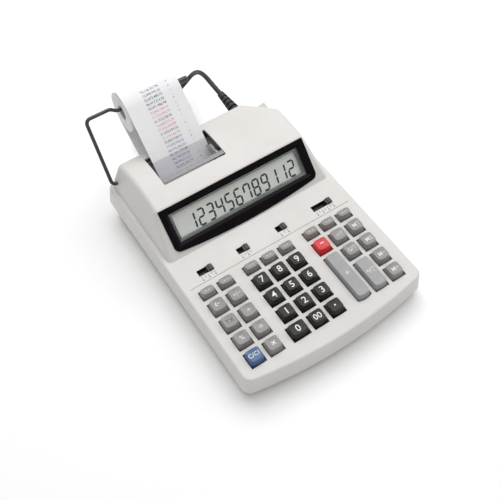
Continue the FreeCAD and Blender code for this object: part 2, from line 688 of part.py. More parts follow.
def make_paper():
    """The roll, and the strip that runs from it round the platen and out over the roll again."""
    tube = rod("roll", "roll_radius", "paper_width", "exit_middle - paper_width / 2", "roll_v", "roll_w", "x")
    core = rod("core", "core_radius", "100", "exit_middle - 50", "roll_v", "roll_w", "x")
    seated(cut("roll", tube, core), "paper_roll")
    left = size("exit_middle") - size("paper_width") / 2
    roll = Vector(left, size("roll_v"), size("roll_w"))
    platen = Vector(left, size("platen_v"), size("platen_w"))
    wound, fed = size("roll_radius") + size("paper_gap"), size("platen_radius") + size("paper_gap")
    draped = size("roll_radius") + size("drape_gap")
    # the feed leaves the roll low at its back, passes over the sill of the rear slot and goes under the
    # platen
    sill = Vector(left, size("slot_v"), size("slot_w"))
    reach = (roll - sill).Length
    off = bearing_of(sill, roll) - math.degrees(math.asin(wound / reach))
    leave = circle_point(roll, wound, off - 90)
    distance = (platen - sill).Length
    on = bearing_of(sill, platen) + math.degrees(math.asin(fed / distance))
    meet = circle_point(platen, fed, on + 90)
    # it leaves the platen along the line that touches both the platen and the drape over the roll
    gap = (roll - platen).Length
    climb = bearing_of(platen, roll) + math.degrees(math.asin((draped - fed) / gap))
    up = circle_point(platen, fed, climb + 90)
    top = circle_point(roll, draped, climb + 90)
    edges = [
        Part.LineSegment(leave, sill).toShape(),
        Part.LineSegment(sill, meet).toShape(),
        arc_about(platen, fed, on + 90, climb + 90 - 360),
        Part.LineSegment(up, top).toShape(),
        arc_about(roll, draped, climb + 90, size("drape_end")),
    ]
    strip = Part.Wire(edges).makeOffset2D(size("paper_thick") / 2, 0, True, True, False)
    feature = doc.addObject("Part::Feature", tag("tape"))
    feature.Shape = strip.extrude(Vector(size("paper_width"), 0, 0))
    seated(feature, "paper_tape")


def rounded_route(points, radii):
    """Straight runs through the points, joined at each inner point by a tangent arc of its radius."""
    edges, here = [], points[0]
    for before, corner, after, radius in zip(points, points[1:], points[2:], radii):
        to_corner, from_corner = (corner - before).normalize(), (after - corner).normalize()
        turn = to_corner.getAngle(from_corner)
        back_off = radius * math.tan(turn / 2)
        start, stop = corner - to_corner * back_off, corner + from_corner * back_off
        inward = (from_corner - to_corner).normalize()
        middle = corner + inward * (radius / math.cos(turn / 2) - radius)
        edges.append(Part.LineSegment(here, start).toShape())
        edges.append(Part.Arc(start, middle, stop).toShape())
        here = stop
    edges.append(Part.LineSegment(here, points[-1]).toShape())
    return Part.Wire(edges)


def tube_along(path, radius):
    """A round bar along a path."""
    start = path.Edges[0].firstVertex().Point
    direction = path.Edges[0].tangentAt(path.Edges[0].FirstParameter)
    section = Part.Wire(Part.Circle(start, direction, radius).toShape())
    solid = path.makePipeShell([section], True, False)
    share = solid.Volume / (math.pi * radius ** 2 * path.Length)
    print(f"bar of radius {radius}: length {path.Length:.1f}, volume {share:.3f} of section times length")
    return solid


def make_roll_holder():
    """The wire arm: a cranked rod through the roll, a leg down its left side and a foot in the case."""
    v_rod, w_rod = size("roll_v"), size("roll_w") + size("wire_play")
    left = size("exit_middle") - size("paper_width") / 2
    raised = w_rod + size("wire_crank")
    points = [
        Vector(left + size("paper_width") + 12, v_rod, w_rod),
        Vector(left - 4, v_rod, w_rod),
        Vector(left - 11, v_rod, raised),
        Vector(size("wire_left"), v_rod, raised),
        Vector(size("wire_low_left"), size("pivot_v"), size("pivot_w")),
        Vector(size("wire_low_left") + 14, size("pivot_v"), size("pivot_w")),
    ]
    wire = tube_along(rounded_route(points, [6, 6, 5, 4]), size("wire_radius"))
    cap = Part.makeCylinder(2.9, 11, points[0] - Vector(8, 0, 0), Vector(1, 0, 0))
    feature = doc.addObject("Part::Feature", tag("wire"))
    feature.Shape = wire.fuse(cap.makeFillet(1.2, [cap.Edges[0], cap.Edges[2]])).removeSplitter()
    seated(feature, "roll_holder")


def make_lead():
    """The ribbed strain relief, the lead as far as its coil, the put-away coil and the plug on it."""
    cone = doc.addObject("Part::Cone", tag("boot"))
    bind(cone, Radius1=6, Radius2="cord_radius + 1.1", Height="boot_length")
    cone.Placement = Placement(Vector(), Rotation(Vector(1, 0, 0), -90))
    at(cone, "boot_x", "boot_v", "boot_w")
    neck = rod("neck", "neck_radius", "neck_length", "boot_x", "boot_v - neck_length", "boot_w", "v")
    collar = rod("collar", "neck_radius + 2", "1.5", "boot_x", "boot_v - neck_length - 1.5", "boot_w", "v")
    grooves = []
    for number in range(4):
        v_groove = f"boot_v + 4 + {number} * rib_pitch"
        ring = rod("ring", "9", "rib_gap", "boot_x", v_groove, "boot_w", "v")
        grooves.append(cut("ring", ring, rod("core", f"4 - {number} * 0.25", "4", "boot_x",
                                             f"{v_groove} - 0.8", "boot_w", "v")))
    seated(cut("boot", union("boot", [cone, neck, collar]), *grooves), "strain_relief")
    middle = Vector(size("coil_x"), size("coil_back"), 0)
    coil = Part.makeCylinder(size("coil_outer"), size("coil_height"), middle)
    coil = coil.cut(Part.makeCylinder(size("coil_inner"), size("coil_height"), middle))
    points = [on_deck(size("boot_x"), size("boot_v") + size("boot_length") + run, size("boot_w"))
              for run in (0, 14)] + [Vector(*point) for point in LEAD_ROUTE]
    radii = []
    for before, corner, after in zip(points, points[1:], points[2:]):
        turn = (corner - before).getAngle(after - corner)
        radii.append(0.45 * min((corner - before).Length, (after - corner).Length) / math.tan(turn / 2))
    print("lead radii", [round(radius, 1) for radius in radii])
    lead = tube_along(rounded_route(points, radii), size("cord_radius")).cut(coil)
    wide, long, high = size("plug_width"), size("plug_length"), size("plug_height")
    front = Vector(size("plug_x"), size("coil_back") - 14, size("coil_height"))
    plug = Part.makeBox(wide, long, high, front - Vector(wide / 2, 0, 0))
    plug = plug.makeFillet(size("plug_round"), plug.Edges)
    for side in (-1, 1):
        tip = front + Vector(side * size("pin_spread"), 1 - size("pin_length"), high / 2)
        plug = plug.fuse(Part.makeCylinder(size("pin_radius"), size("pin_length"), tip, Vector(0, 1, 0)))
    for name, shape in (("power_cord", lead), ("cord_coil", coil), ("power_plug", plug)):
        feature = doc.addObject("Part::Feature", tag(name))
        feature.Shape = shape
        feature.Label = name
        PIECES.append(feature)


# ---------------------------------------------------------------- finish


def check_and_write():
    """Check every object and every sub-part, then write one file for each sub-part."""
    doc.recompute()
    for obj in doc.Objects:
        if any(state in obj.State for state in ("Invalid", "Error")):
            raise RuntimeError(f"{obj.Name} ({obj.Label}) failed: {obj.State}")
    os.makedirs("parts", exist_ok=True)
    for piece in PIECES:
        shape = piece.Shape
        if shape.isNull() or not shape.isValid() or not shape.Solids:
            raise RuntimeError(f"{piece.Label} has no valid solid")
        shape.exportStep(f"parts/{piece.Label}.step")
        print(piece.Label, len(shape.Solids), "solids", round(shape.Volume), "mm3")


if __name__ == "__main__":
    make_upper_case()
    make_lower_case()
    make_screws_and_feet()
    make_display()
    make_keys()
    make_switches()
    make_boards()
    make_printer()
    make_paper()
    make_roll_holder()
    make_lead()
    check_and_write()
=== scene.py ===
import logging
import math
import random
from dataclasses import dataclass, field
from enum import Enum
from typing import Any, Callable, Optional, Sequence, Union

import bpy
from mathutils import Matrix, Vector


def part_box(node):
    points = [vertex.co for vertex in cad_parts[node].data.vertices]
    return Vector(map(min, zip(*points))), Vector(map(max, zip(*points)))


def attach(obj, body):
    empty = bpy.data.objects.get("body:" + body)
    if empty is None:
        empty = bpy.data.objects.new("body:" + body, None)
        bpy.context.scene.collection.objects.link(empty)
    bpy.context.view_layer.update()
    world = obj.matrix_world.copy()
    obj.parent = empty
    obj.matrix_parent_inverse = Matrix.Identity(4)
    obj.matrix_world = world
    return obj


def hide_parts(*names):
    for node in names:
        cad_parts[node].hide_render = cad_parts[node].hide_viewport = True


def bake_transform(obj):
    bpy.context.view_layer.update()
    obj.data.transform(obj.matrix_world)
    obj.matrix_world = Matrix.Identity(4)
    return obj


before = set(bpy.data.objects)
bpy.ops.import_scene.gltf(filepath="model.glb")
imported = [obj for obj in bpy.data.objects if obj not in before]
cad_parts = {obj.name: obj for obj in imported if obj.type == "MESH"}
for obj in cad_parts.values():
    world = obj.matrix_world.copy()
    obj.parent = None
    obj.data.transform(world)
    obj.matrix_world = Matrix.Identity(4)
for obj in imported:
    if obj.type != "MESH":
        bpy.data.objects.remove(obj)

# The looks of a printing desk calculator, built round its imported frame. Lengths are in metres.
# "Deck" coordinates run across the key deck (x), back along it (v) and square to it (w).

log = logging.getLogger("calculator")


class Part(Enum):
    """What a pick in edit mode takes."""

    VERT = "vertices"
    EDGE = "edges"
    FACE = "polygons"


class Side(Enum):
    """The axis that a rod lies along."""

    X = "X"
    Y = "Y"
    Z = "Z"


# ---------------------------------------------------------------- the bench: modelling by hand tools


class Bench:
    """Modelling with Blender's own tools: a primitive is added, shaped in edit mode and finished."""

    @staticmethod
    def clear() -> None:
        """Leave edit mode and deselect everything."""
        if bpy.context.mode != "OBJECT":
            bpy.ops.object.mode_set(mode="OBJECT")
        bpy.ops.object.select_all(action="DESELECT")

    @classmethod
    def take(cls, obj: bpy.types.Object) -> None:
        """Make one object the only selected and the active one.

        Args:
            obj: the piece.
        """
        cls.clear()
        obj.select_set(True)
        bpy.context.view_layer.objects.active = obj

    @classmethod
    def block(cls, name: str, size: Sequence[float], middle: Sequence[float]) -> bpy.types.Object:
        """Add a box.

        Args:
            name: the piece's name.
            size: its width, depth and height.
            middle: the point at its middle.

        Returns:
            The new object, unturned and unscaled.
        """
        cls.clear()
        bpy.ops.mesh.primitive_cube_add(size=1, location=middle, scale=size)
        return cls._named(name)

    @classmethod
    def rod(cls, name: str, radius: float, length: float, middle: Sequence[float], along: Side,
            sides: int = 48) -> bpy.types.Object:
        """Add a round bar.

        Args:
            name: the piece's name.
            radius: the bar's radius.
            length: its length.
            middle: the point at its middle.
            along: the axis that it lies along.
            sides: how many flats its round is made of.

        Returns:
            The new object, unturned and unscaled.
        """
        turn = {Side.X: (0, math.pi / 2, 0), Side.Y: (math.pi / 2, 0, 0), Side.Z: (0, 0, 0)}[along]
        cls.clear()
        bpy.ops.mesh.primitive_cylinder_add(vertices=sides, radius=radius, depth=length, location=middle,
                                            rotation=turn)
        return cls._named(name)

    @staticmethod
    def _named(name: str) -> bpy.types.Object:
        """Name the primitive just added and put its place into its mesh.

        Args:
            name: the piece's name.

        Returns:
            The object.
        """
        obj = bpy.context.object
        obj.name = name
        obj.data.name = name
        bpy.ops.object.transform_apply(location=True, rotation=True, scale=True)
        return obj

    @classmethod
    def pick(cls, obj: bpy.types.Object, part: Part, test: Callable[[Any, Sequence[Vector]], bool]) -> int:
        """Enter edit mode with only the parts selected that a test wants.

        Args:
            obj: the object to work on.
            part: whether vertices, edges or faces are picked.
            test: takes the part and its corner points, and says whether it is wanted.

        Returns:
            How many were picked.
        """
        cls.take(obj)
        mesh = obj.data
        bpy.context.tool_settings.mesh_select_mode = tuple(part is kind for kind in Part)
        for kind in Part:
            rows = getattr(mesh, kind.value)
            rows.foreach_set("select", [False] * len(rows))
        points = mesh.vertices
        count = 0
        for item in getattr(mesh, part.value):
            corners = [item.co] if part is Part.VERT else [points[i].co for i in item.vertices]
            if test(item, corners):
                item.select = True
                count += 1
        bpy.ops.object.mode_set(mode="EDIT")
        return count

    @staticmethod
    def done() -> None:
        """Leave edit mode."""
        bpy.ops.object.mode_set(mode="OBJECT")

    @classmethod
    def modify(cls, obj: bpy.types.Object, kind: str, **settings: Any) -> None:
        """Add a modifier and apply it.

        Args:
            obj: the piece.
            kind: the modifier's type.
            settings: its settings, by name.
        """
        cls.take(obj)
        modifier = obj.modifiers.new(kind.lower(), kind)
        for key, value in settings.items():
            setattr(modifier, key, value)
        bpy.ops.object.modifier_apply(modifier=modifier.name)

    @classmethod
    def smooth(cls, obj: bpy.types.Object, degrees: float = 35) -> None:
        """Shade the faces smooth where they meet at less than an angle."""
        cls.take(obj)
        bpy.ops.object.shade_smooth_by_angle(angle=math.radians(degrees))

    @classmethod
    def outward(cls, obj: bpy.types.Object) -> None:
        """Merge doubled vertices and turn every face outwards.

        Args:
            obj: the piece.
        """
        cls.take(obj)
        bpy.ops.object.mode_set(mode="EDIT")
        bpy.ops.mesh.select_all(action="SELECT")
        bpy.ops.mesh.remove_doubles(threshold=1e-6)
        bpy.ops.mesh.normals_make_consistent(inside=False)
        bpy.ops.object.mode_set(mode="OBJECT")

    @classmethod
    def copy(cls, obj: bpy.types.Object, name: str) -> bpy.types.Object:
        """A copy of a piece, with a mesh of its own.

        Args:
            obj: the piece to copy.
            name: the copy's name.

        Returns:
            The copy.
        """
        other = obj.copy()
        other.data = obj.data.copy()
        other.name = name
        other.data.name = name
        bpy.context.scene.collection.objects.link(other)
        return other

    @classmethod
    def join(cls, name: str, pieces: Sequence[bpy.types.Object]) -> bpy.types.Object:
        """Join several meshes into one piece.

        Args:
            name: the joined piece's name.
            pieces: the meshes, the first of which takes in the rest.

        Returns:
            The joined piece.
        """
        cls.clear()
        for obj in pieces:
            obj.select_set(True)
        bpy.context.view_layer.objects.active = pieces[0]
        bpy.ops.object.join()
        pieces[0].name = name
        pieces[0].data.name = name
        return pieces[0]

    @staticmethod
    def move(obj: bpy.types.Object, matrix: Matrix) -> bpy.types.Object:
        """Put a place into an object's mesh.

        Args:
            obj: the piece.
            matrix: its place.

        Returns:
            The piece.
        """
        obj.data.transform(matrix)
        obj.data.update()
        return obj

    @classmethod
    def lettering(cls, name: str, words: str, height: float, weight: float = 0.0,
                  thick: float = 0.00004, align: str = "CENTER") -> bpy.types.Object:
        """A generic mark as a flat mesh, centred or set to one side of the origin.

        Args:
            name: the piece's name.
            words: the characters.
            height: how tall a digit is.
            weight: how much its strokes are thickened, as a share of the type size.
            thick: how far it stands off the surface.
            align: LEFT, CENTER or RIGHT.

        Returns:
            The mesh object, lying face up at the origin.
        """
        cls.clear()
        bpy.ops.object.text_add()
        obj = bpy.context.object
        obj.name = name
        obj.data.body = words
        obj.data.align_x = align
        obj.data.align_y = "CENTER"
        obj.data.size = height / 0.72
        obj.data.offset = weight * obj.data.size
        obj.data.extrude = thick / 2
        obj.data.resolution_u = 3
        bpy.ops.object.convert(target="MESH")
        obj.data.name = name
        return obj


# ---------------------------------------------------------------- shader sums


class Signal:
    """One output of a shader node, which takes part in Python sums."""

    def __init__(self, graph: "Graph", socket: bpy.types.NodeSocket) -> None:
        """Wrap a socket of a graph."""
        self.graph = graph
        self.socket = socket

    def _sum(self, operation: str, first: "Value", second: "Value") -> "Signal":
        """Add a Math node."""
        return self.graph.signal("ShaderNodeMath", {"operation": operation}, {0: first, 1: second})

    def __add__(self, other: "Value") -> "Signal":
        """Signal + value."""
        return self._sum("ADD", self, other)

    def __radd__(self, other: "Value") -> "Signal":
        """Value + signal."""
        return self._sum("ADD", other, self)

    def __sub__(self, other: "Value") -> "Signal":
        """Signal - value."""
        return self._sum("SUBTRACT", self, other)

    def __rsub__(self, other: "Value") -> "Signal":
        """Value - signal."""
        return self._sum("SUBTRACT", other, self)

    def __mul__(self, other: "Value") -> "Signal":
        """Signal * value."""
        return self._sum("MULTIPLY", self, other)

    def __rmul__(self, other: "Value") -> "Signal":
        """Value * signal."""
        return self._sum("MULTIPLY", other, self)

    def __truediv__(self, other: "Value") -> "Signal":
        """Signal / value."""
        return self._sum("DIVIDE", self, other)

    def __rtruediv__(self, other: "Value") -> "Signal":
        """Value / signal."""
        return self._sum("DIVIDE", other, self)

    def __pow__(self, other: "Value") -> "Signal":
        """Signal to a power."""
        return self._sum("POWER", self, other)


Value = Union[float, int, Sequence[float], Signal]


class Graph:
    """One material's nodes."""

    def __init__(self, name: str) -> None:
        """Start an empty material."""
        self.material = bpy.data.materials.new(name)
        self.material.use_nodes = True
        self.material.node_tree.nodes.clear()

    def node(self, kind: str, settings: dict[str, Any],
             inputs: dict[Union[str, int], Value]) -> bpy.types.Node:
        """Add a node.

        Args:
            kind: the node's type.
            settings: its own settings, which are set first.
            inputs: values or signals for its sockets, by name or number.

        Returns:
            The node.
        """
        made = self.material.node_tree.nodes.new(kind)
        for key, value in settings.items():
            setattr(made, key, value)
        for key, value in inputs.items():
            if isinstance(value, Signal):
                self.material.node_tree.links.new(value.socket, made.inputs[key])
            else:
                made.inputs[key].default_value = value
        return made

    def signal(self, kind: str, settings: dict[str, Any], inputs: dict[Union[str, int], Value],
               output: Union[str, int] = 0) -> Signal:
        """Add a node and take one of its outputs."""
        return Signal(self, self.node(kind, settings, inputs).outputs[output])

    def place(self, stretch: Sequence[float] = (1, 1, 1), turn: Sequence[float] = (0, 0, 0)) -> Signal:
        """Object coordinates, stretched and turned by a Mapping node."""
        coords = self.signal("ShaderNodeTexCoord", {}, {}, "Object")
        return self.signal("ShaderNodeMapping", {}, {"Vector": coords, "Rotation": turn, "Scale": stretch})

    def noise(self, size: float, detail: float = 3.0, place: Optional[Signal] = None) -> Signal:
        """Soft noise from 0 to 1 with patches of about one size, in metres."""
        where = place if place is not None else self.place()
        return self.signal("ShaderNodeTexNoise", {}, {"Vector": where, "Scale": 1 / size, "Detail": detail})

    def blend(self, amount: Value, first: Value, second: Value) -> Signal:
        """Mix two colours."""
        return self.signal("ShaderNodeMix", {"data_type": "RGBA"}, {0: amount, 6: first, 7: second}, 2)

    def ramp(self, amount: Signal, low: float, high: float) -> Signal:
        """Stretch a signal so that low becomes 0 and high becomes 1, held at both ends."""
        return self.signal("ShaderNodeMapRange", {"clamp": True},
                           {"Value": amount, "From Min": low, "From Max": high})

    def relief(self, height: Signal, depth: float) -> Signal:
        """A normal raised by a height signal, depth metres deep."""
        return self.signal("ShaderNodeBump", {}, {"Height": height, "Strength": 1.0, "Distance": depth})

    def coat(self, inputs: dict[Union[str, int], Value]) -> bpy.types.Material:
        """End the graph in a Principled shader."""
        shader = self.signal("ShaderNodeBsdfPrincipled", {}, inputs)
        return self.end(shader)

    def end(self, shader: Signal) -> bpy.types.Material:
        """End the graph in a shader and return the material."""
        self.node("ShaderNodeOutputMaterial", {}, {"Surface": shader})
        return self.material


Colour = tuple[float, float, float]


def solid(colour: Colour) -> tuple[float, float, float, float]:
    """A colour with full alpha."""
    return (*colour, 1.0)


@dataclass(frozen=True)
class Moulded:
    """Moulded plastic or rubber: a faint mottle, a fine spark-eroded grain and uneven gloss."""

    name: str
    colour: Colour
    shade: Colour
    gloss: float = 0.42
    gloss_play: float = 0.12
    grain: float = 0.0005
    depth: float = 0.00001
    patch: float = 0.03
    coat: float = 0.0
    metal: float = 0.0
    shine: float = 0.5

    def make(self) -> bpy.types.Material:
        """Build the material.

        Returns:
            The material.
        """
        graph = Graph(self.name)
        patches = graph.ramp(graph.noise(self.patch, 4), 0.35, 0.65)
        rubbed = graph.ramp(graph.noise(self.patch / 6, 6), 0.4, 0.75)
        fine = graph.noise(self.grain, 2)
        colour = graph.blend(patches, solid(self.colour), solid(self.shade))
        gloss = self.gloss + rubbed * self.gloss_play + (fine - 0.5) * 0.06
        return graph.coat({
            "Base Color": colour, "Roughness": gloss, "Normal": graph.relief(fine, self.depth),
            "Coat Weight": self.coat, "Coat Roughness": 0.12, "Metallic": self.metal, "IOR": 1.5,
            "Specular IOR Level": self.shine,
        })


@dataclass(frozen=True)
class Clear:
    """Clear or smoked sheet: mostly see-through, with a glossy skin and faint smears."""

    name: str
    tint: Colour
    veil: Colour
    cover: float = 0.06
    skin: float = 0.9
    smear: float = 0.05

    def make(self) -> bpy.types.Material:
        """Build the material.

        Returns:
            The material.
        """
        graph = Graph(self.name)
        smears = graph.ramp(graph.noise(0.02, 2, graph.place((1, 1.5, 1))), 0.4, 0.8)
        through = graph.signal("ShaderNodeBsdfTransparent", {}, {"Color": solid(self.tint)})
        film = graph.signal("ShaderNodeBsdfPrincipled", {}, {
            "Base Color": solid(self.veil), "Roughness": 0.16 + smears * 0.12, "IOR": 1.49})
        rim = graph.signal("ShaderNodeFresnel", {}, {"IOR": 1.49})
        factor = graph.ramp(self.cover + rim * self.skin + smears * self.smear, 0.0, 1.0)
        return graph.end(graph.signal("ShaderNodeMixShader", {}, {0: factor, 1: through, 2: film}))


@dataclass(frozen=True)
class Paper:
    """Uncoated roll paper: fibres, a faint cloudiness and a dull surface."""

    name: str = "paper_stock"
    colour: Colour = (0.86, 0.855, 0.865)
    cloud: Colour = (0.80, 0.78, 0.81)

    def make(self) -> bpy.types.Material:
        """Build the material.

        Returns:
            The material.
        """
        graph = Graph(self.name)
        clouds = graph.ramp(graph.noise(0.008, 5), 0.35, 0.7)
        fibres = graph.noise(0.0004, 4, graph.place((1, 0.3, 0.3)))
        colour = graph.blend(clouds * 0.5, solid(self.colour), solid(self.cloud))
        return graph.coat({"Base Color": colour, "Roughness": 0.82 + fibres * 0.1,
                           "Normal": graph.relief(fibres, 0.00002), "Specular IOR Level": 0.3})


@dataclass(frozen=True)
class RollEdge:
    """The wound edge of a paper roll: fine rings about the core."""

    name: str = "wound_paper"
    axis_v: float = 0.0
    axis_w: float = 0.0
    pitch: float = 0.0006

    def make(self) -> bpy.types.Material:
        """Build the material.

        Returns:
            The material.
        """
        graph = Graph(self.name)
        place = graph.place()
        across = graph.signal("ShaderNodeSeparateXYZ", {}, {0: place}, 1) - self.axis_v
        up = graph.signal("ShaderNodeSeparateXYZ", {}, {0: place}, 2) - self.axis_w
        radius = (across * across + up * up) ** 0.5
        wave = graph.signal("ShaderNodeMath", {"operation": "SINE"}, {0: radius * (2 * math.pi / self.pitch)})
        drift = graph.noise(0.004, 4)
        rings = graph.ramp(wave * 0.35 + drift, 0.1, 1.1)
        colour = graph.blend(rings, solid((0.86, 0.85, 0.84)), solid((0.72, 0.71, 0.71)))
        return graph.coat({"Base Color": colour, "Roughness": 0.85 + drift * 0.1,
                           "Normal": graph.relief(rings, 0.00003), "Specular IOR Level": 0.3})


@dataclass(frozen=True)
class Crystal:
    """A liquid crystal panel: grey-green in soft uneven patches, with a silky polariser."""

    name: str = "crystal_panel"
    colour: Colour = (0.93, 0.945, 0.905)
    dark: Colour = (0.80, 0.82, 0.785)

    def make(self) -> bpy.types.Material:
        """Build the material.

        Returns:
            The material.
        """
        graph = Graph(self.name)
        silk = graph.noise(0.0003, 2, graph.place((0.2, 1, 1)))
        fall = graph.ramp(graph.noise(0.05, 2), 0.3, 0.7)
        colour = graph.blend(fall, solid(self.colour), solid(self.dark))
        return graph.coat({"Base Color": colour, "Roughness": 0.3 + silk * 0.2, "Coat Weight": 0.3,
                           "Normal": graph.relief(silk, 0.000004)})


@dataclass(frozen=True)
class Board:
    """Circuit board lacquer: green, with darker tracks under it."""

    name: str = "board_lacquer"

    def make(self) -> bpy.types.Material:
        """Build the material.

        Returns:
            The material.
        """
        graph = Graph(self.name)
        tracks = graph.signal("ShaderNodeTexBrick", {"offset": 0.37, "squash": 1.6}, {
            "Vector": graph.place(), "Scale": 120.0, "Mortar Size": 0.03}, "Fac")
        dust = graph.noise(0.004, 4)
        colour = graph.blend(tracks, solid((0.02, 0.16, 0.06)), solid((0.05, 0.26, 0.10)))
        return graph.coat({"Base Color": colour, "Roughness": 0.25 + dust * 0.3,
                           "Normal": graph.relief(tracks, 0.00003)})


class Finishes:
    """Every finish of the calculator, made once and looked up by name."""

    def __init__(self) -> None:
        """Make the materials."""
        recipes = [
            Moulded("case_white", (0.665, 0.645, 0.622), (0.635, 0.615, 0.592), 0.42, 0.12, 0.0006, 0.000018,
                0.05),
            Moulded("bezel_black", (0.0045, 0.0035, 0.004), (0.007, 0.006, 0.007), 0.16, 0.08, 0.0015,
                0.000002, 0.02, shine=0.05),
            Clear("clear_plastic", (0.995, 0.995, 0.99), (0.02, 0.02, 0.02), 0.0, 0.3, 0.004),
            Clear("smoked_plastic", (0.975, 0.975, 0.985), (0.16, 0.16, 0.17), 0.006, 0.16, 0.006),
            Clear("strip_plastic", (0.8, 0.8, 0.82), (0.34, 0.34, 0.35), 0.68, 0.5),
            Moulded("lcd_grey", (0.34, 0.36, 0.345), (0.28, 0.30, 0.29), 0.42, 0.1, 0.0006, 0.00001, 0.02),
            Crystal(),
            Moulded("segment", (0.055, 0.07, 0.072), (0.07, 0.085, 0.085), 0.4, 0.1, 0.001, 0.000002, 0.01,
                shine=0.2),
            Moulded("key_black", (0.012, 0.0105, 0.0105), (0.017, 0.015, 0.0145), 0.34, 0.12, 0.0005, 0.00001,
                0.015, shine=0.3),
            Moulded("key_grey", (0.285, 0.268, 0.262), (0.245, 0.232, 0.226), 0.34, 0.12, 0.0005, 0.00001,
                0.015),
            Moulded("key_light_grey", (0.335, 0.335, 0.338), (0.30, 0.30, 0.303), 0.38, 0.12, 0.0005, 0.00001,
                0.02),
            Moulded("key_red", (0.66, 0.020, 0.028), (0.58, 0.014, 0.02), 0.32, 0.12, 0.0005, 0.00001, 0.015),
            Moulded("key_blue", (0.062, 0.135, 0.285), (0.05, 0.11, 0.235), 0.34, 0.12, 0.0005, 0.00001,
                0.015),
            Moulded("knob_black", (0.010, 0.010, 0.010), (0.016, 0.016, 0.016), 0.38, 0.15, 0.0004, 0.00001,
                0.01),
            Moulded("legend_white", (0.85, 0.85, 0.84), (0.78, 0.78, 0.77), 0.5, 0.1, 0.0003, 0.000004,
                0.004),
            Moulded("legend_pale", (0.72, 0.72, 0.72), (0.66, 0.66, 0.67), 0.5, 0.1, 0.0003, 0.000004, 0.004),
            Moulded("legend_green", (0.42, 0.56, 0.45), (0.38, 0.50, 0.41), 0.5, 0.1, 0.0003, 0.000004,
                0.004),
            Moulded("legend_dark", (0.08, 0.08, 0.085), (0.11, 0.11, 0.115), 0.5, 0.1, 0.0003, 0.000004,
                0.004),
            Moulded("print_grey", (0.10, 0.095, 0.11), (0.15, 0.14, 0.16), 0.5, 0.1, 0.0003, 0.000002, 0.004),
            Paper(),
            Moulded("ink_black", (0.10, 0.10, 0.13), (0.22, 0.22, 0.26), 0.7, 0.1, 0.0003, 0.000002, 0.002),
            Moulded("ink_red", (0.78, 0.25, 0.40), (0.82, 0.42, 0.55), 0.7, 0.1, 0.0003, 0.000002, 0.002),
            Moulded("ink_violet", (0.22, 0.20, 0.48), (0.34, 0.32, 0.58), 0.7, 0.1, 0.0003, 0.000002, 0.002),
            Moulded("core_card", (0.62, 0.60, 0.57), (0.52, 0.50, 0.47), 0.8, 0.1, 0.0006, 0.00003, 0.006),
            Moulded("wire_black", (0.030, 0.030, 0.031), (0.045, 0.045, 0.046), 0.32, 0.15, 0.0008, 0.00001,
                0.01, coat=0.2),
            Moulded("rubber", (0.02, 0.02, 0.02), (0.032, 0.032, 0.032), 0.62, 0.15, 0.0005, 0.00003, 0.01),
            Moulded("silicone", (0.30, 0.32, 0.33), (0.26, 0.28, 0.29), 0.6, 0.1, 0.0005, 0.00001, 0.02),
            Board(),
            Moulded("mechanism", (0.11, 0.11, 0.115), (0.20, 0.20, 0.20), 0.4, 0.2, 0.0005, 0.00001, 0.01),
            Moulded("gear_white", (0.66, 0.63, 0.55), (0.58, 0.55, 0.48), 0.45, 0.1, 0.0005, 0.00001, 0.01),
            Moulded("bright_steel", (0.55, 0.55, 0.56), (0.45, 0.45, 0.46), 0.28, 0.2, 0.0004, 0.000005, 0.01,
                metal=1.0),
            Moulded("screw_steel", (0.48, 0.47, 0.45), (0.38, 0.37, 0.36), 0.35, 0.2, 0.0004, 0.000005, 0.004,
                metal=1.0),
            Moulded("cord_black", (0.016, 0.016, 0.017), (0.024, 0.024, 0.025), 0.45, 0.15, 0.0004, 0.00002,
                0.01),
            Moulded("floor_white", (0.98, 0.98, 0.98), (0.975, 0.975, 0.975), 0.7, 0.05, 0.01, 0.000001, 0.5),
        ]
        self.made = {recipe.name: recipe.make() for recipe in recipes}

    def dress(self, obj: bpy.types.Object, name: str) -> None:
        """Give an object one finish all over."""
        obj.data.materials.clear()
        obj.data.materials.append(self.made[name])

    def add(self, name: str, material: bpy.types.Material) -> None:
        """Keep one more finish."""
        self.made[name] = material


# ---------------------------------------------------------------- where things are


@dataclass(frozen=True)
class Deck:
    """The tilted key deck, and the display face that stands on it."""

    tilt: float = math.radians(3.1)
    front_y: float = -0.14033
    front_lift: float = 0.0105
    rise: float = 0.0203
    face_foot: float = 0.1359
    face_angle: float = math.radians(45)

    @property
    def matrix(self) -> Matrix:
        """From deck coordinates to the frame."""
        return Matrix.Translation((0, self.front_y, self.front_lift)) @ Matrix.Rotation(self.tilt, 4, "X")

    @property
    def face(self) -> Matrix:
        """From the flat display face, whose y climbs the slope, to the frame."""
        return (self.matrix @ Matrix.Translation((0, self.face_foot, self.rise))
                @ Matrix.Rotation(self.face_angle, 4, "X"))

    def at(self, x: float, v: float, w: float) -> Vector:
        """A deck point in the frame."""
        return self.matrix @ Vector((x, v, w))

    def span(self, node: str, face: bool = False) -> tuple[Vector, Vector]:
        """The lowest and highest corners of a frame node in deck or display face coordinates.

        Args:
            node: the frame node's name.
            face: whether display face coordinates are wanted.

        Returns:
            The low corner and the high corner.
        """
        back = (self.face if face else self.matrix).inverted()
        points = [back @ corner.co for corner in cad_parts[node].data.vertices]
        low = Vector([min(point[axis] for point in points) for axis in range(3)])
        high = Vector([max(point[axis] for point in points) for axis in range(3)])
        return low, high


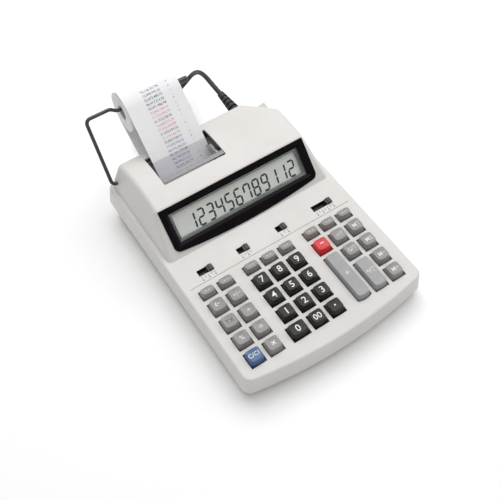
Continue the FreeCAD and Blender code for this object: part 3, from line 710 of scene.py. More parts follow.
@dataclass
class Workshop:
    """What every class shares: the deck and the finishes."""

    deck: Deck = field(default_factory=Deck)
    finishes: Finishes = field(default_factory=Finishes)

    def hand_over(self, obj: bpy.types.Object, body: str, finish: str, slot: Optional[str] = None,
                  stands_for: Sequence[str] = ()) -> bpy.types.Object:
        """Dress a finished piece and seat it on its body.

        Args:
            obj: the piece, its place in its mesh.
            body: the frame body that it rides on.
            finish: the finish's name.
            slot: the record's material slot, where it has one; not used.
            stands_for: frame nodes that it replaces.

        Returns:
            The piece.
        """
        self.finishes.dress(obj, finish)
        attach(obj, body)
        if stands_for:
            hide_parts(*stands_for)
        log.info("%s rides on %s", obj.name, body)
        return obj


# ---------------------------------------------------------------- camera, light and floor


@dataclass
class Studio:
    """The camera, the soft lights and the plain pale floor."""

    shop: Workshop
    azimuth: float = math.radians(-33.13)
    elevation: float = math.radians(57.74)
    roll: float = math.radians(-0.5975)
    distance: float = 0.68053
    aim: tuple[float, float, float] = (-0.0221, 0.1054523, 0.0258)
    sensor: float = 36.0
    lens: float = 54.072
    floor_size: float = 8.0
    floor_gap: float = 0.0003

    def build(self) -> None:
        """Set up camera, lights and floor."""
        self.set_camera()
        self.set_lights()
        bpy.ops.mesh.primitive_plane_add(size=self.floor_size, location=(0, 0, -self.floor_gap))
        floor = bpy.context.object
        floor.name = "floor"
        self.shop.finishes.dress(floor, "floor_white")

    def set_camera(self) -> None:
        """Stand the camera over the front left corner, measured on the deck."""
        data = bpy.data.cameras.new("camera")
        data.sensor_width = self.sensor
        data.lens = self.lens
        data.clip_start = 0.01
        camera = bpy.data.objects.new("camera", data)
        bpy.context.scene.collection.objects.link(camera)
        back = Vector((math.sin(self.azimuth) * math.cos(self.elevation),
                       -math.cos(self.azimuth) * math.cos(self.elevation), math.sin(self.elevation)))
        turn = (-back).to_track_quat("-Z", "Y").to_matrix().to_4x4() @ Matrix.Rotation(self.roll, 4, "Z")
        stand = Matrix.Translation(Vector(self.aim) + back * self.distance)
        camera.matrix_world = self.shop.deck.matrix @ stand @ turn
        bpy.context.scene.camera = camera

    def set_lights(self) -> None:
        """Hang three wide soft boxes and a pale surround."""
        boxes = [
            ("overhead", (0.30, 0.45, 1.25), (1.4, 1.2), 14.5),
            ("right_fill", (1.3, -0.4, 0.8), (1.0, 1.0), 3.6),
            ("left_fill", (-1.2, -0.9, 0.8), (0.9, 0.9), 0.8),
        ]
        bpy.context.scene.view_settings.view_transform = "Standard"
        for name, place, size, power in boxes:
            data = bpy.data.lights.new(name, "AREA")
            data.shape = "RECTANGLE"
            data.size, data.size_y = size
            data.energy = power
            lamp = bpy.data.objects.new(name, data)
            lamp.location = place
            lamp.rotation_euler = (Vector(place) - Vector((0, 0, 0.03))).to_track_quat("Z", "Y").to_euler()
            bpy.context.scene.collection.objects.link(lamp)
        world = bpy.data.worlds.new("surround")
        world.use_nodes = True
        world.node_tree.nodes["Background"].inputs["Color"].default_value = (1.0, 1.0, 1.0, 1.0)
        world.node_tree.nodes["Background"].inputs["Strength"].default_value = 0.49
        bpy.context.scene.world = world


# ---------------------------------------------------------------- mains lead


@dataclass
class MainsLead:
    """The lead: out of its ribbed sleeve, down behind the case, put away in a round coil with its plug."""

    shop: Workshop
    length: float = 1.5
    diameter: float = 0.005
    boot_x: float = 0.055
    boot_w: float = 0.034
    boot_end: float = 0.276
    straight: float = 0.014
    route: tuple = ((0.0556, 0.1586, 0.0602), (0.0564, 0.1696, 0.0584), (0.0568, 0.1796, 0.0542),
                    (0.0566, 0.1882, 0.0478), (0.0554, 0.1954, 0.0396), (0.0530, 0.2012, 0.0304),
                    (0.0494, 0.2060, 0.0212), (0.0442, 0.2102, 0.0128), (0.0368, 0.2138, 0.0064),
                    (0.0274, 0.2160, 0.0033), (0.0168, 0.2156, 0.0027), (0.0066, 0.2124, 0.0027),
                    (-0.0026, 0.2070, 0.0027), (-0.0112, 0.1996, 0.0027))
    coil_start: float = math.radians(136)
    coil_end: float = math.radians(315 + 360 * 7)
    layers: int = 3
    steps: int = 16
    outer: float = 0.0317
    inner: float = 0.0204
    layer_rise: float = 0.00505
    change: float = 0.15
    tail_reach: float = 0.0335
    tail_start: float = 0.0030
    cord: bpy.types.Object = field(init=False)

    def build(self) -> None:
        start = self.shop.deck.at(self.boot_x, self.boot_end, self.boot_w)
        after = self.shop.deck.at(self.boot_x, self.boot_end + self.straight, self.boot_w)
        points = [start, after] + [Vector(point) for point in self.route] + self.turns() + self.tail()
        curve = bpy.data.curves.new("mains_lead", "CURVE")
        curve.dimensions = "3D"
        curve.bevel_depth = self.diameter / 2
        curve.bevel_resolution = 5
        curve.resolution_u = 4
        curve.use_fill_caps = True
        spline = curve.splines.new("NURBS")
        spline.points.add(len(points) - 1)
        for point, place in zip(spline.points, points):
            point.co = (*place, 1.0)
        spline.order_u = 3
        spline.use_endpoint_u = True
        self.cord = bpy.data.objects.new("mains_lead", curve)
        bpy.context.scene.collection.objects.link(self.cord)
        self.shop.hand_over(self.cord, "root", "cord_black", "cord_black", ("power_cord", "cord_coil"))
        plug, pins = Plug(self.shop).build()

    def turns(self) -> list[Vector]:
        """The coil's turns, wound in and out between its rim and its hole, layer on layer.

        Returns:
            The turns' points.
        """
        low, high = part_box("cord_coil")
        middle = (low + high) / 2
        floor = low.z + self.diameter / 2 + 0.0002
        whole = self.coil_end - self.coil_start
        count = round(whole / (2 * math.pi) * self.steps)
        swell = 2 / (1 + math.cos(math.pi / self.steps))
        points = []
        for number in range(count + 1):
            share = number / count * self.layers
            angle = self.coil_start + whole * number / count
            wave = abs((share % 2) - 1)
            radius = (self.inner + (self.outer - self.inner) * wave) * swell
            step = 0.0
            for edge in range(1, self.layers):
                turns_past = (share - edge) * whole / (2 * math.pi) / self.layers
                ease = min(1.0, max(0.0, turns_past / (2 * self.change) + 0.5))
                step += ease * ease * (3 - 2 * ease)
            points.append(Vector((middle.x + radius * math.cos(angle), middle.y + radius * math.sin(angle),
                                  floor + step * self.layer_rise)))
        return points

    def tail(self) -> list[Vector]:
        """The last stretch, off the coil and round into the back of the plug.

        Returns:
            The stretch's points.
        """
        low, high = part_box("power_plug")
        coil_low, coil_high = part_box("cord_coil")
        middle = (coil_low + coil_high) / 2
        entry = Vector(((low.x + high.x) / 2, high.y, (coil_high.z + high.z) / 2))
        reach = middle.x + self.tail_reach
        turn_middle = Vector(((reach + entry.x) / 2, entry.y + self.tail_start, 0))
        radius = (reach - entry.x) / 2 * 1.03
        points = [middle + Vector((0.0270, -0.0080, 0.0098)), middle + Vector((0.0330, 0.0060, 0.0104))]
        for step, sink in enumerate((0.0036, 0.0022, 0.0010, 0.0003)):
            angle = math.radians(45 * step)
            points.append(turn_middle + Vector((radius * math.cos(angle), radius * math.sin(angle),
                                                entry.z - sink)))
        return points + [entry + Vector((0.0, 0.0050, 0.0)), entry + Vector((0.0, -0.0040, 0.0))]


@dataclass
class Plug:
    """The two-pin plug that lies on the coil: a waisted body with grip ribs, and two round pins."""

    shop: Workshop
    body_length: float = 0.034
    corner: float = 0.0035
    pin_radius: float = 0.0022
    pin_spread: float = 0.006
    pin_root: float = 0.002
    slices: int = 14
    waist_start: float = 0.45
    waist_in: float = 0.38
    rib_in: float = 0.05

    def build(self) -> tuple[bpy.types.Object, bpy.types.Object]:
        """Make the body and its pins.

        Returns:
            The body and the pins.
        """
        low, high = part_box("power_plug")
        middle = Vector(((low.x + high.x) / 2, high.y - self.body_length / 2, (low.z + high.z) / 2))
        size = Vector((high.x - low.x, self.body_length, high.z - low.z))
        body = Bench.block("plug_body", size, middle)
        Bench.pick(body, Part.EDGE, lambda item, ends: abs(ends[0].y - ends[1].y) > 0.01)
        bpy.ops.mesh.subdivide(number_cuts=self.slices)
        Bench.done()
        for number in range(self.slices + 1):
            share = number / self.slices
            y = middle.y - self.body_length / 2 + share * self.body_length
            rib = self.rib_in if 5 <= number <= 10 and number % 2 else 0
            waist = 1 - self.waist_in * max(0.0, share - self.waist_start) ** 1.4 - rib
            Bench.pick(body, Part.VERT, lambda item, ends: abs(ends[0].y - y) < 0.0012)
            bpy.ops.transform.resize(value=(waist, 1, waist), center_override=(middle.x, y, middle.z))
        Bench.done()
        Bench.modify(body, "BEVEL", width=self.corner * 0.7, segments=4, limit_method="ANGLE",
                     angle_limit=math.radians(50))
        Bench.smooth(body, 40)
        self.shop.hand_over(body, "root", "cord_black", "cord_black", ("power_plug",))
        pins = []
        for side in (-1, 1):
            bare = high.y - self.body_length - low.y
            place = Vector((middle.x + side * self.pin_spread, low.y + (bare + self.pin_root) / 2, middle.z))
            pin = Bench.rod(f"pin{side}", self.pin_radius, bare + self.pin_root, place, Side.Y, 24)
            Bench.modify(pin, "BEVEL", width=0.0009, segments=3, limit_method="ANGLE")
            pins.append(pin)
        joined = Bench.join("plug_pins", pins)
        Bench.smooth(joined, 40)
        self.shop.hand_over(joined, "root", "bright_steel", "screw_steel")
        return body, joined


# ---------------------------------------------------------------- keys


class Tone(Enum):
    """The colours that key caps are moulded in."""

    BLACK = "key_black"
    GREY = "key_grey"
    LIGHT = "key_light_grey"
    RED = "key_red"
    BLUE = "key_blue"


@dataclass(frozen=True)
class Mark:
    """A generic legend on a key: its characters, size, finish and place on the cap."""

    words: str
    height: float = 0.0066
    finish: str = "legend_white"
    weight: float = 0.007
    right: float = 0.0
    back: float = 0.0004


MARKS: dict[str, Mark] = {
    "key_c1": Mark("7"), "key_d1": Mark("8"), "key_e1": Mark("9"),
    "key_c2": Mark("4"), "key_d2": Mark("5"), "key_e2": Mark("6"),
    "key_c3": Mark("1"), "key_d3": Mark("2"), "key_e3": Mark("3"),
    "key_c4": Mark("0"), "key_d4": Mark("00", 0.0058), "key_e4": Mark("·", 0.0090),
    "key_f1": Mark("−", 0.0062, right=0.0006, back=0.0012),
    "key_f2": Mark("+", 0.0064, "legend_pale", 0.006, 0.0004, 0.0010),
    "key_g3": Mark("*/T", 0.0046, "legend_pale", 0.008, 0.0004, 0.0010),
    "key_a1": Mark("←", 0.0048, "legend_pale", 0.02, -0.0002, 0.0012),
    "key_a2": Mark("TX", 0.0042, "legend_dark", 0.006),
    "key_a3": Mark("%", 0.0044, "legend_pale", 0.006),
    "key_a4": Mark("C/CE", 0.0040, "legend_white", 0.0, 0.0003, 0.0008),
    "key_b1": Mark("+/−", 0.0040, "legend_pale", 0.006, 0.0005),
    "key_b2": Mark("÷", 0.0052, "legend_pale", 0.010, 0.0005),
    "key_b3": Mark("=", 0.0052, "legend_pale", 0.010, 0.0005),
    "key_b4": Mark("×", 0.0064, "legend_white", 0.008, 0.0005),
    "key_g1": Mark("#/P", 0.0040, "legend_green", 0.006, 0.0005),
    "key_g2": Mark("G/T", 0.0040, "legend_pale", 0.006, 0.0005),
    "key_h1": Mark("MT", 0.0042, "legend_pale", 0.006, 0.0008),
    "key_h2": Mark("MS", 0.0042, "legend_pale", 0.006, 0.0008),
    "key_h3": Mark("M−", 0.0042, "legend_pale", 0.006, 0.0008),
    "key_h4": Mark("M+", 0.0042, "legend_pale", 0.006, 0.0008),
}
SMALL_MARK = Mark("▸ ◂", 0.0030, "legend_pale", 0.006, 0.0002, 0.0006)


@dataclass
class KeyCap:
    """One moulded cap: bowed front, sloping front face, dished top set to the rear, and its stem."""

    width: float
    depth: float
    height: float = 0.0085
    skirt: float = 0.0030
    side_lean: float = 0.0012
    front_lean: float = 0.0023
    rear_lean: float = 0.0008
    bow: float = 0.0015
    dish: float = 0.00055
    rim: float = 0.0010
    corner: float = 0.0021
    edge: float = 0.0007
    flange: float = 0.0009
    flange_thick: float = 0.0011
    stem_radius: float = 0.0028
    stem_low: float = 0.0086
    columns: int = 8

    def model(self, name: str) -> bpy.types.Object:
        """Model the cap about the middle of its hole, level with the deck.

        Args:
            name: the piece's name.

        Returns:
            The cap with its flange and stem, at the origin.
        """
        top = self.height - self.skirt
        half_wide, half_deep = self.width / 2, self.depth / 2
        cap = Bench.block(name, (self.width, self.depth, self.height), (0, 0, top - self.height / 2))
        # the top face draws in all round, most at the front
        deep_top = self.depth - self.front_lean - self.rear_lean
        Bench.pick(cap, Part.FACE, lambda item, ends: item.normal.z > 0.9)
        bpy.ops.transform.resize(value=(1 - 2 * self.side_lean / self.width, deep_top / self.depth, 1),
                                 center_override=(0, 0, top))
        bpy.ops.transform.translate(value=(0, (self.front_lean - self.rear_lean) / 2, 0))
        Bench.done()
        # corners are rounded, then the cap is cut into columns so that its front can bow
        Bench.pick(cap, Part.EDGE, lambda item, ends: abs(ends[0].z - ends[1].z) > self.height / 2)
        bpy.ops.mesh.bevel(offset=self.corner, segments=4, affect="EDGES")
        Bench.done()
        for number in range(1, self.columns):
            x = (number / self.columns - 0.5) * (self.width - 2 * (self.side_lean + self.corner))
            Bench.take(cap)
            bpy.ops.object.mode_set(mode="EDIT")
            bpy.ops.mesh.select_all(action="SELECT")
            bpy.ops.mesh.bisect(plane_co=(x, 0, 0), plane_no=(1, 0, 0))
            Bench.done()
        # the dish: the top is inset to a rim, and its middle columns are let down
        Bench.pick(cap, Part.FACE, lambda item, ends: item.normal.z > 0.9)
        bpy.ops.mesh.inset(thickness=self.rim, depth=0, use_even_offset=True)
        Bench.done()
        inner = half_wide - self.side_lean - self.rim
        front = -half_deep + self.front_lean + self.rim * 0.6
        rear = half_deep - self.rear_lean - self.rim * 0.6
        for corner in cap.data.vertices:
            point = corner.co
            share = min(1.0, abs(point.x) / half_wide)
            if point.z > top - 1e-5 and abs(point.x) < inner + 1e-5 and front < point.y < rear:
                point.z -= self.dish * max(0.0, 1 - (point.x / inner) ** 2)
            if point.y < 0:
                point.y += self.bow * share * share
        Bench.modify(cap, "BEVEL", width=self.edge, segments=3, limit_method="ANGLE",
                     angle_limit=math.radians(38), use_clamp_overlap=True)
        flange = Bench.block(
            "flange", (self.width + 2 * self.flange, self.depth + 2 * self.flange, self.flange_thick),
            (0, 0, -self.skirt - self.flange_thick / 2 + 1e-5))
        stem = Bench.rod("stem", self.stem_radius, self.stem_low - self.skirt,
                         (0, 0, -(self.stem_low + self.skirt) / 2), Side.Z, 24)
        cap = Bench.join(name, [cap, flange, stem])
        Bench.smooth(cap, 32)
        return cap


@dataclass
class Keyboard:
    """All the keys, each with its own legend."""

    shop: Workshop
    tall_dish: float = 0.00022
    tone_of: dict[str, Tone] = field(default_factory=lambda: {
        "key_f1": Tone.RED, "key_a4": Tone.BLUE, "key_f2": Tone.LIGHT, "key_g3": Tone.LIGHT})
    patterns: dict[tuple[int, int], bpy.types.Object] = field(default_factory=dict)

    def tone(self, name: str) -> Tone:
        """The colour of a key: the digit block is black, and the rest grey unless listed.

        Args:
            name: the key's frame node.

        Returns:
            Its tone.
        """
        if name in self.tone_of:
            return self.tone_of[name]
        return Tone.BLACK if name[4] in "cde" and name[5] != "0" else Tone.GREY

    def build(self) -> None:
        """Make every key."""
        names = sorted(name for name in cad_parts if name.startswith("key_") and name != "key_mat")
        for name in names:
            self.key(name)
        for pattern in self.patterns.values():
            bpy.data.objects.remove(pattern)

    def key(self, name: str) -> None:
        """Copy a cap pattern of the key's size, seat it in its hole and mark it.

        Args:
            name: the key's frame node.
        """
        low, high = self.shop.deck.span(name)
        play = KeyCap.flange
        width, depth = high.x - low.x - 2 * play, high.y - low.y - 2 * play
        size = (round(width * 1e4), round(depth * 1e4))
        if size not in self.patterns:
            tall = depth > 0.02
            cap = KeyCap(width, depth, dish=self.tall_dish) if tall else KeyCap(width, depth)
            self.patterns[size] = cap.model(f"pattern_{size[0]}_{size[1]}")
        cap = Bench.copy(self.patterns[size], f"{name}_cap")
        tone = self.tone(name)
        mark = MARKS.get(name, SMALL_MARK)
        legend = Bench.lettering(f"{name}_mark", mark.words, mark.height, mark.weight, 0.0)
        Bench.move(legend, Matrix.Translation((mark.right, mark.back, 0.02)))
        self.wrap(legend, cap)
        seat = self.shop.deck.matrix @ Matrix.Translation(
            ((low.x + high.x) / 2, (low.y + high.y) / 2, self.shop.deck.rise))
        Bench.move(cap, seat)
        Bench.move(legend, seat)
        self.shop.hand_over(cap, name, tone.value, tone.value, (name,))
        self.shop.hand_over(legend, name, mark.finish)

    @staticmethod
    def wrap(legend: bpy.types.Object, cap: bpy.types.Object) -> None:
        """Lay a flat legend down onto the top of its cap."""
        Bench.modify(legend, "SHRINKWRAP", target=cap, wrap_method="PROJECT", use_project_z=True,
                     use_negative_direction=True, use_positive_direction=False, offset=0.00004)


# ---------------------------------------------------------------- display


@dataclass
class Display:
    """The glass of the display and its twelve slanted seven-bar digits."""

    shop: Workshop
    reading: str = "123456789112"
    digit_height: float = 0.0165
    digit_width: float = 0.0079
    bar: float = 0.0018
    pitch: float = 0.0101
    slant: float = 0.11
    first_x: float = -0.0562
    foot: float = 0.0155
    panel_thick: float = 0.0022
    wall: float = 0.0026
    bars_of: dict[str, str] = field(default_factory=lambda: {
        "0": "abcdef", "1": "bc", "2": "abged", "3": "abgcd", "4": "fgbc", "5": "afgcd", "6": "afgcde",
        "7": "fabc", "8": "abcdefg", "9": "abcdfg"})

    def build(self) -> None:
        """Make the glass and the digits."""
        low, high = self.shop.deck.span("lcd_panel", face=True)
        glass_top = low.z + self.panel_thick
        size = (high.x - low.x - 2 * self.wall, high.y - low.y - 2 * self.wall - 0.0018, 0.0003)
        middle = ((low.x + high.x) / 2, (low.y + high.y) / 2, glass_top + 0.00016)
        glass = Bench.block("lcd_glass", size, middle)
        Bench.modify(glass, "BEVEL", width=0.0001, segments=2)
        Bench.move(glass, self.shop.deck.face)
        self.shop.hand_over(glass, "root", "crystal_panel", "lcd_grey")
        digits = []
        for number, figure in enumerate(self.reading):
            for letter in self.bars_of[figure]:
                digits.append(self.segment(letter, self.first_x + number * self.pitch))
        digits = Bench.join("lcd_digits", digits)
        lean = Matrix.Identity(4)
        lean[0][1] = self.slant
        Bench.move(digits, lean)
        Bench.move(digits, Matrix.Translation((0, self.foot, glass_top + 0.00036)))
        Bench.move(digits, self.shop.deck.face)
        self.shop.hand_over(digits, "root", "segment", "lcd_grey")

    def segment(self, letter: str, x: float) -> bpy.types.Object:
        """One bar of a digit: a flat bar with pointed ends.

        Args:
            letter: which of the seven bars, a to g.
            x: the digit's left side.

        Returns:
            The bar, drawn flat with its digit's foot at y = 0.
        """
        wide, tall = self.digit_width - self.bar, self.digit_height / 2 - self.bar / 2
        flat = letter in "agd"
        row = {"a": 2, "g": 1, "d": 0, "b": 1.5, "f": 1.5, "c": 0.5, "e": 0.5}[letter]
        column = {"f": 0, "e": 0, "b": 1, "c": 1}.get(letter, 0.5)
        reach = (wide if flat else tall) - self.bar * 0.32
        size = (reach, self.bar, 0.00008) if flat else (self.bar, reach, 0.00008)
        middle = (x + self.bar / 2 + column * wide, self.bar / 2 + row * tall, 0)
        bar = Bench.block("bar", size, middle)
        Bench.pick(bar, Part.EDGE, lambda item, ends: abs(ends[0].z - ends[1].z) > 0.00004)
        bpy.ops.mesh.bevel(offset=self.bar * 0.42, segments=1, affect="EDGES")
        Bench.done()
        return bar


# ---------------------------------------------------------------- case furniture


@dataclass
class Switches:
    """The housings, grips and tick rows of the four slide switches."""

    shop: Workshop
    slots: tuple = (("switch_rounding", -0.0734, -0.0577, 5), ("switch_decimal", -0.0311, -0.0189, 4),
                    ("switch_total", 0.0119, 0.0228, 3), ("switch_mode", 0.0535, 0.0752, 7))
    slot_middle: float = 0.1129
    slot_depth: float = 0.0066
    liner: float = 0.00028
    trough_deep: float = 0.0052
    grip_pitch: float = 0.0019
    grip_rib: tuple[float, float, float] = (0.0007, 0.0054, 0.0009)
    tick: tuple[float, float, float] = (0.0006, 0.0018, 0.00006)
    dot: tuple[float, float, float] = (0.0015, 0.0011, 0.00006)
    tick_ahead: float = 0.0058
    dot_ahead: float = 0.0081

    def build(self) -> None:
        """Make the parts of each switch."""
        for name, left, right, ticks in self.slots:
            self.housing(name, left, right)
            self.grip(name)
            self.ticks(name, left, right, ticks)

    def housing(self, name: str, left: float, right: float) -> None:
        """The black trough that lines a slot.

        Args:
            name: the switch's frame node.
            left: the slot's left end.
            right: the slot's right end.
        """
        rise = self.shop.deck.rise
        wide, middle_x = right - left, (left + right) / 2
        low, high = rise - self.trough_deep, rise - 0.0001
        trough = Bench.block(f"{name}_housing", (wide - 0.00006, self.slot_depth - 0.00006, high - low),
                             (middle_x, self.slot_middle, (low + high) / 2))
        Bench.pick(trough, Part.FACE, lambda item, ends: item.normal.z > 0.9)
        bpy.ops.mesh.inset(thickness=self.liner, depth=0)
        bpy.ops.mesh.extrude_region_move(TRANSFORM_OT_translate={"value": (0, 0, low - high + 0.0006)})
        Bench.done()
        Bench.move(trough, self.shop.deck.matrix)
        self.shop.hand_over(trough, "root", "knob_black", "knob_black")

    def grip(self, name: str) -> None:
        """The ribbed thumb piece on a knob.

        Args:
            name: the switch's frame node.
        """
        low, high = self.shop.deck.span(name)
        middle_x = (low.x + high.x) / 2
        pieces = []
        for number in range(3):
            x = middle_x + (number - 1) * self.grip_pitch
            rib = Bench.block("rib", self.grip_rib, (x, self.slot_middle, self.shop.deck.rise))
            Bench.modify(rib, "BEVEL", width=0.00025, segments=2)
            pieces.append(rib)
        grip = Bench.join(f"{name}_grip", pieces)
        Bench.smooth(grip)
        Bench.move(grip, self.shop.deck.matrix)
        self.shop.hand_over(grip, name, "knob_black", "knob_black")

    def ticks(self, name: str, left: float, right: float, count: int) -> None:
        """Printed ticks and dots in front of a slot.

        Args:
            name: the switch's frame node.
            left: the slot's left end.
            right: the slot's right end.
            count: how many ticks there are.
        """
        rise = self.shop.deck.rise
        marks = []
        for number in range(count):
            x = left + 0.0015 + (right - left - 0.003) * number / (count - 1)
            marks.append(Bench.block("tick", self.tick, (x, self.slot_middle - self.tick_ahead, rise)))
            if number % 2 == 0:
                marks.append(Bench.block("dot", self.dot, (x, self.slot_middle - self.dot_ahead, rise)))
        row = Bench.join(f"{name}_ticks", marks)
        Bench.move(row, self.shop.deck.matrix)
        self.shop.hand_over(row, "root", "print_grey")


@dataclass
class Printer:
    """The printer's window strip, gears and small mechanism."""

    shop: Workshop
    strip_depth: float = 0.0052
    wheels: tuple = ((0.2085, 0.0440, 0.0068, 22), (0.2005, 0.0485, 0.0034, 12))
    wheel_inset: float = 0.0034
    wheel_thick: float = 0.0022
    tooth_height: float = 0.0007

    def build(self) -> None:
        """Make the visible printer pieces."""
        deck = self.shop.deck
        low, high = deck.span("printer_cover")
        strip = Bench.block("cover_strip", (high.x - low.x - 0.0004, self.strip_depth, 0.0011),
                            ((low.x + high.x) / 2, low.y + self.strip_depth / 2 + 0.0004, high.z - 0.0004))
        Bench.modify(strip, "BEVEL", width=0.0004, segments=3)
        Bench.smooth(strip)
        Bench.move(strip, deck.matrix)
        self.shop.hand_over(strip, "printer_cover", "strip_plastic", "smoked_plastic")
        self.gear_train(high)

    def gear_train(self, high: Vector) -> None:
        """Two toothed wheels and a lever beside the tape, inside the cover's high corner.

        Args:
            high: the printer cover's high corner, in deck coordinates.
        """
        deck = self.shop.deck
        plate_x = high.x - self.wheel_inset
        wheels = []
        for v, w, radius, teeth in self.wheels:
            wheel = Bench.rod("wheel", radius, self.wheel_thick, (plate_x, v, w), Side.X, teeth * 4)
            middle = Vector((plate_x, v, w))

            def tooth(item: Any, ends: Sequence[Vector], centre: Vector = middle, count: int = teeth) -> bool:
                """Whether a rim face is one of the wheel's teeth."""
                if abs(item.normal.x) > 0.5:
                    return False
                face = sum(ends, Vector()) / len(ends) - centre
                turn = math.atan2(face.z, face.y) / (2 * math.pi) * count
                return turn % 1.0 < 0.5

            Bench.pick(wheel, Part.FACE, tooth)
            bpy.ops.mesh.extrude_region_shrink_fatten(TRANSFORM_OT_shrink_fatten={"value": self.tooth_height})
            Bench.done()
            wheels.append(wheel)
        train = Bench.join("feed_wheels", wheels)
        Bench.smooth(train, 25)
        Bench.move(train, deck.matrix)
        self.shop.hand_over(train, "root", "gear_white")
        lever = Bench.block("head_lever", (0.0016, 0.016, 0.0022), (plate_x - 0.003, 0.2060, 0.0500))
        Bench.modify(lever, "BEVEL", width=0.0005, segments=2)
        Bench.move(lever, deck.matrix)
        self.shop.hand_over(lever, "root", "mechanism", "mechanism")


@dataclass
class PaperWork:
    """The roll, and the printed strip that bends between the case and the roll's wire arm."""

    shop: Workshop
    roll_v: float = 0.275
    roll_w: float = 0.073
    roll_radius: float = 0.020
    core_radius: float = 0.008
    platen_v: float = 0.203
    platen_w: float = 0.028
    platen_radius: float = 0.006
    gap: float = 0.00045
    drape_gap: float = 0.0022
    drape_end: float = 62.0
    sill_v: float = 0.2435
    sill_w: float = 0.0285
    row_pitch: float = 0.00423
    rows: int = 19
    first_row: float = 0.0165
    figure_height: float = 0.0024
    ink_lift: float = 0.00014

    def build(self) -> None:
        """Make roll, core, strip and print."""
        self.roll()
        path = self.path()
        strip = self.strip(path)
        self.bend(strip, "paper_stock", ("paper_tape",))
        self.print_rows(self.shop.deck.span("paper_tape")[1].x)

    def roll(self) -> None:
        """The wound roll with its bored middle, and the card core in it."""
        low, high = self.shop.deck.span("paper_roll")
        wide, middle_x = high.x - low.x, (low.x + high.x) / 2
        middle = (middle_x, self.roll_v, self.roll_w)
        roll = Bench.rod("paper_roll_wound", self.roll_radius, wide, middle, Side.X, 96)
        Bench.pick(roll, Part.FACE, lambda item, ends: abs(item.normal.x) > 0.9)
        bpy.ops.mesh.inset(thickness=self.roll_radius - self.core_radius, depth=0, use_individual=True)
        bpy.ops.mesh.bridge_edge_loops()
        Bench.done()
        Bench.outward(roll)
        Bench.modify(roll, "BEVEL", width=0.0003, segments=2, limit_method="ANGLE",
                     angle_limit=math.radians(60))
        Bench.smooth(roll)
        Bench.move(roll, self.shop.deck.matrix)
        axis = self.shop.deck.at(0, self.roll_v, self.roll_w)
        self.shop.finishes.add("wound_paper", RollEdge(axis_v=axis.y, axis_w=axis.z).make())
        self.shop.hand_over(roll, "paper_roll", "wound_paper", "paper", ("paper_roll",))
        core = Bench.rod("roll_core", self.core_radius - 0.00002, wide - 0.001, middle, Side.X, 64)
        Bench.pick(core, Part.FACE, lambda item, ends: abs(item.normal.x) > 0.9)
        bpy.ops.mesh.inset(thickness=0.0011, depth=0, use_individual=True)
        bpy.ops.mesh.bridge_edge_loops()
        Bench.done()
        Bench.outward(core)
        Bench.smooth(core)
        Bench.move(core, self.shop.deck.matrix)
        self.shop.hand_over(core, "paper_roll", "core_card", "paper")

    def centres(self) -> tuple[Vector, Vector]:
        """The middles of the roll and of the platen."""
        return Vector((self.roll_v, self.roll_w)), Vector((self.platen_v, self.platen_w))

    def climb(self) -> tuple[float, Vector, Vector]:
        """The strip's last straight run: its slope, where it leaves the platen and where it meets the roll.

        Returns:
            The slope, and the two ends.
        """
        roll, platen = self.centres()
        fed, draped = self.platen_radius + self.gap, self.roll_radius + self.drape_gap
        slope = self.heading(platen, roll) + math.asin((draped - fed) / (roll - platen).length)
        square = slope + math.pi / 2
        return slope, self.round(platen, fed, square), self.round(roll, draped, square)

    def path(self) -> list[Vector]:
        """The strip's line across v and w: off the roll, under and round the platen, over the roll.

        Returns:
            The line's points.
        """
        roll, platen = self.centres()
        sill = Vector((self.sill_v, self.sill_w))
        wound, fed = self.roll_radius + self.gap, self.platen_radius + self.gap
        draped = self.roll_radius + self.drape_gap
        off = self.heading(sill, roll) - math.asin(wound / (roll - sill).length)
        on = self.heading(sill, platen) + math.asin(fed / (platen - sill).length)
        climb, leave, over = self.climb()
        quarter = math.pi / 2
        points = [self.round(roll, wound, off - quarter), sill]
        last = climb + quarter - 2 * math.pi
        points += [self.round(platen, fed, on + quarter + (last - on - quarter) * k / 20) for k in range(21)]
        points += [leave.lerp(over, k / 16) for k in range(1, 16)]
        end = math.radians(self.drape_end)
        points += [self.round(roll, draped, climb + quarter + (end - climb - quarter) * k / 18)
                   for k in range(19)]
        return points

    @staticmethod
    def heading(start: Vector, end: Vector) -> float:
        """The direction from one point to another."""
        return math.atan2(end.y - start.y, end.x - start.x)

    @staticmethod
    def round(middle: Vector, radius: float, angle: float) -> Vector:
        """A point on a circle."""
        return middle + Vector((math.cos(angle), math.sin(angle))) * radius

    def strip(self, path: Sequence[Vector]) -> bpy.types.Object:
        """Draw the strip's edge along its path and sweep it across to the paper's width.

        Args:
            path: the strip's line, as points of v and w.

        Returns:
            The strip, in its place.
        """
        low, high = self.shop.deck.span("paper_tape")
        Bench.clear()
        mesh = bpy.data.meshes.new("paper_strip")
        mesh.from_pydata([(low.x, point.x, point.y) for point in path],
                         [(k, k + 1) for k in range(len(path) - 1)], [])
        strip = bpy.data.objects.new("paper_strip", mesh)
        bpy.context.scene.collection.objects.link(strip)
        Bench.take(strip)
        bpy.ops.object.mode_set(mode="EDIT")
        bpy.ops.mesh.select_all(action="SELECT")
        bpy.ops.mesh.extrude_edges_move(
            TRANSFORM_OT_translate={"value": (high.x - low.x, 0, 0), "orient_type": "GLOBAL"})
        Bench.done()
        Bench.modify(strip, "SOLIDIFY", thickness=0.00012, offset=0.0)
        Bench.outward(strip)
        Bench.smooth(strip, 60)
        return Bench.move(strip, self.shop.deck.matrix)

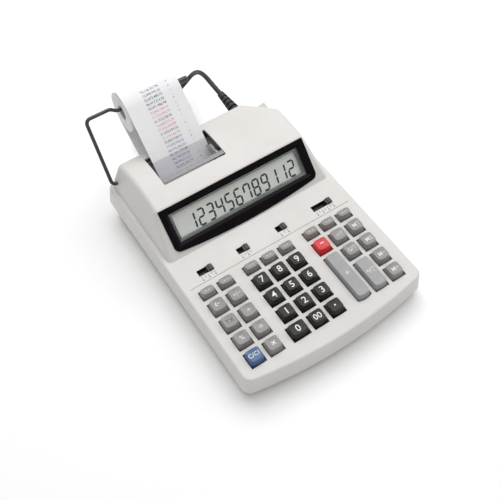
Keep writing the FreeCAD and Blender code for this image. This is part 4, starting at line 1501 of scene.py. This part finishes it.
    def bend(self, obj: bpy.types.Object, finish: str,
             stands_for: Sequence[str] = ()) -> None:
        """Dress a piece of the strip and bake its place into its mesh.
            finish: the finish's name.
            stands_for: frame nodes that it replaces.
        """
        self.shop.finishes.dress(obj, finish)
        start = self.shop.deck.at(0, self.platen_v + 0.024, self.platen_w + 0.020)
        end = self.shop.deck.at(0, self.roll_v - 0.012, self.roll_w - 0.012)
        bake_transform(obj)
        if stands_for:
            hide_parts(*stands_for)
        log.info("%s bends between the case and the wire arm", obj.name)

    def print_rows(self, right: float) -> None:
        """Print sums on the strip: amounts in a column with a dot or sign at the right.

        Args:
            right: the strip's right edge.
        """
        roll, _ = self.centres()
        draped = self.roll_radius + self.drape_gap
        climb, leave, over = self.climb()
        straight = (over - leave).length
        dice = random.Random(12)
        inks: dict[str, list[bpy.types.Object]] = {"ink_black": [], "ink_red": [], "ink_violet": []}
        for number in range(self.rows):
            along = self.first_row + number * self.row_pitch
            if along <= straight:
                foot, angle = leave.lerp(over, along / straight), climb
            else:
                turn = (along - straight) / draped
                foot, angle = self.round(roll, draped, climb + math.pi / 2 - turn), climb - turn
            ink = self.ink_of(number)
            for words, x, side in self.words_of(dice, right):
                row = Bench.lettering("row", words, self.figure_height, 0.004, 0.0, side)
                Bench.move(row, Matrix.Translation((x, foot.x, foot.y))
                           @ Matrix.Rotation(angle, 4, "X") @ Matrix.Translation((0, 0, self.ink_lift)))
                inks[ink].append(row)
        for ink, rows in inks.items():
            printed = Bench.join(f"tape_{ink}", rows)
            Bench.move(printed, self.shop.deck.matrix)
            self.bend(printed, ink)

    @staticmethod
    def ink_of(number: int) -> str:
        """The ink of a row, counted from the platen: violet low down, then black and red by turns.

        Args:
            number: the row's number.

        Returns:
            The ink's finish.
        """
        if number < 6:
            return "ink_violet" if number % 3 else "ink_black"
        return "ink_red" if number in (7, 9, 10, 12, 13) else "ink_black"

    @staticmethod
    def words_of(dice: random.Random, right: float) -> list[tuple[str, float, str]]:
        """One row's amount and its sign.

        Args:
            dice: the seeded source of the figures.
            right: the strip's right edge.

        Returns:
            Each piece of text with its x and the side that it is set to.
        """
        amount = f"{dice.randrange(10, 99)},{dice.randrange(100, 999)},{dice.randrange(100, 999)}." \
                 f"{dice.randrange(10, 99)}"
        sign = dice.choice("+-+*")
        return [(amount, right - 0.0195, "RIGHT"), (sign, right - 0.0110, "CENTER")]


# ---------------------------------------------------------------- the frame's own parts


@dataclass
class CarriedOver:
    """The frame nodes whose shape is kept, and the finish of each."""

    shop: Workshop
    finish_of: dict[str, str] = field(default_factory=lambda: {
        "upper_case": "case_white", "lower_case": "case_white", "case_screws": "screw_steel",
        "rubber_feet": "rubber", "display_bezel": "bezel_black", "display_lens": "clear_plastic",
        "lcd_panel": "lcd_grey", "key_mat": "silicone", "main_board": "board_lacquer",
        "printer_frame": "mechanism", "platen_roller": "rubber", "printer_cover": "smoked_plastic",
        "roll_holder": "wire_black", "strain_relief": "cord_black", "switch_rounding": "knob_black",
        "switch_decimal": "knob_black", "switch_total": "knob_black", "switch_mode": "knob_black"})

    def build(self) -> None:
        """Dress each kept node."""
        for node, finish in self.finish_of.items():
            self.shop.finishes.dress(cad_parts[node], finish)
            log.info("%s keeps its frame shape in %s", node, finish)


def corners(low: Vector, high: Vector) -> list[list[float]]:
    """Two corners of a box as plain lists."""
    return [[float(value) for value in low], [float(value) for value in high]]


def main() -> None:
    """Build the calculator's looks in order."""
    logging.basicConfig(level=logging.INFO, format="%(message)s")
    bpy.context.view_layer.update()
    shop = Workshop()
    Studio(shop).build()
    MainsLead(shop).build()
    CarriedOver(shop).build()
    Keyboard(shop).build()
    Display(shop).build()
    Switches(shop).build()
    Printer(shop).build()
    PaperWork(shop).build()


if __name__ == "__main__":
    main()
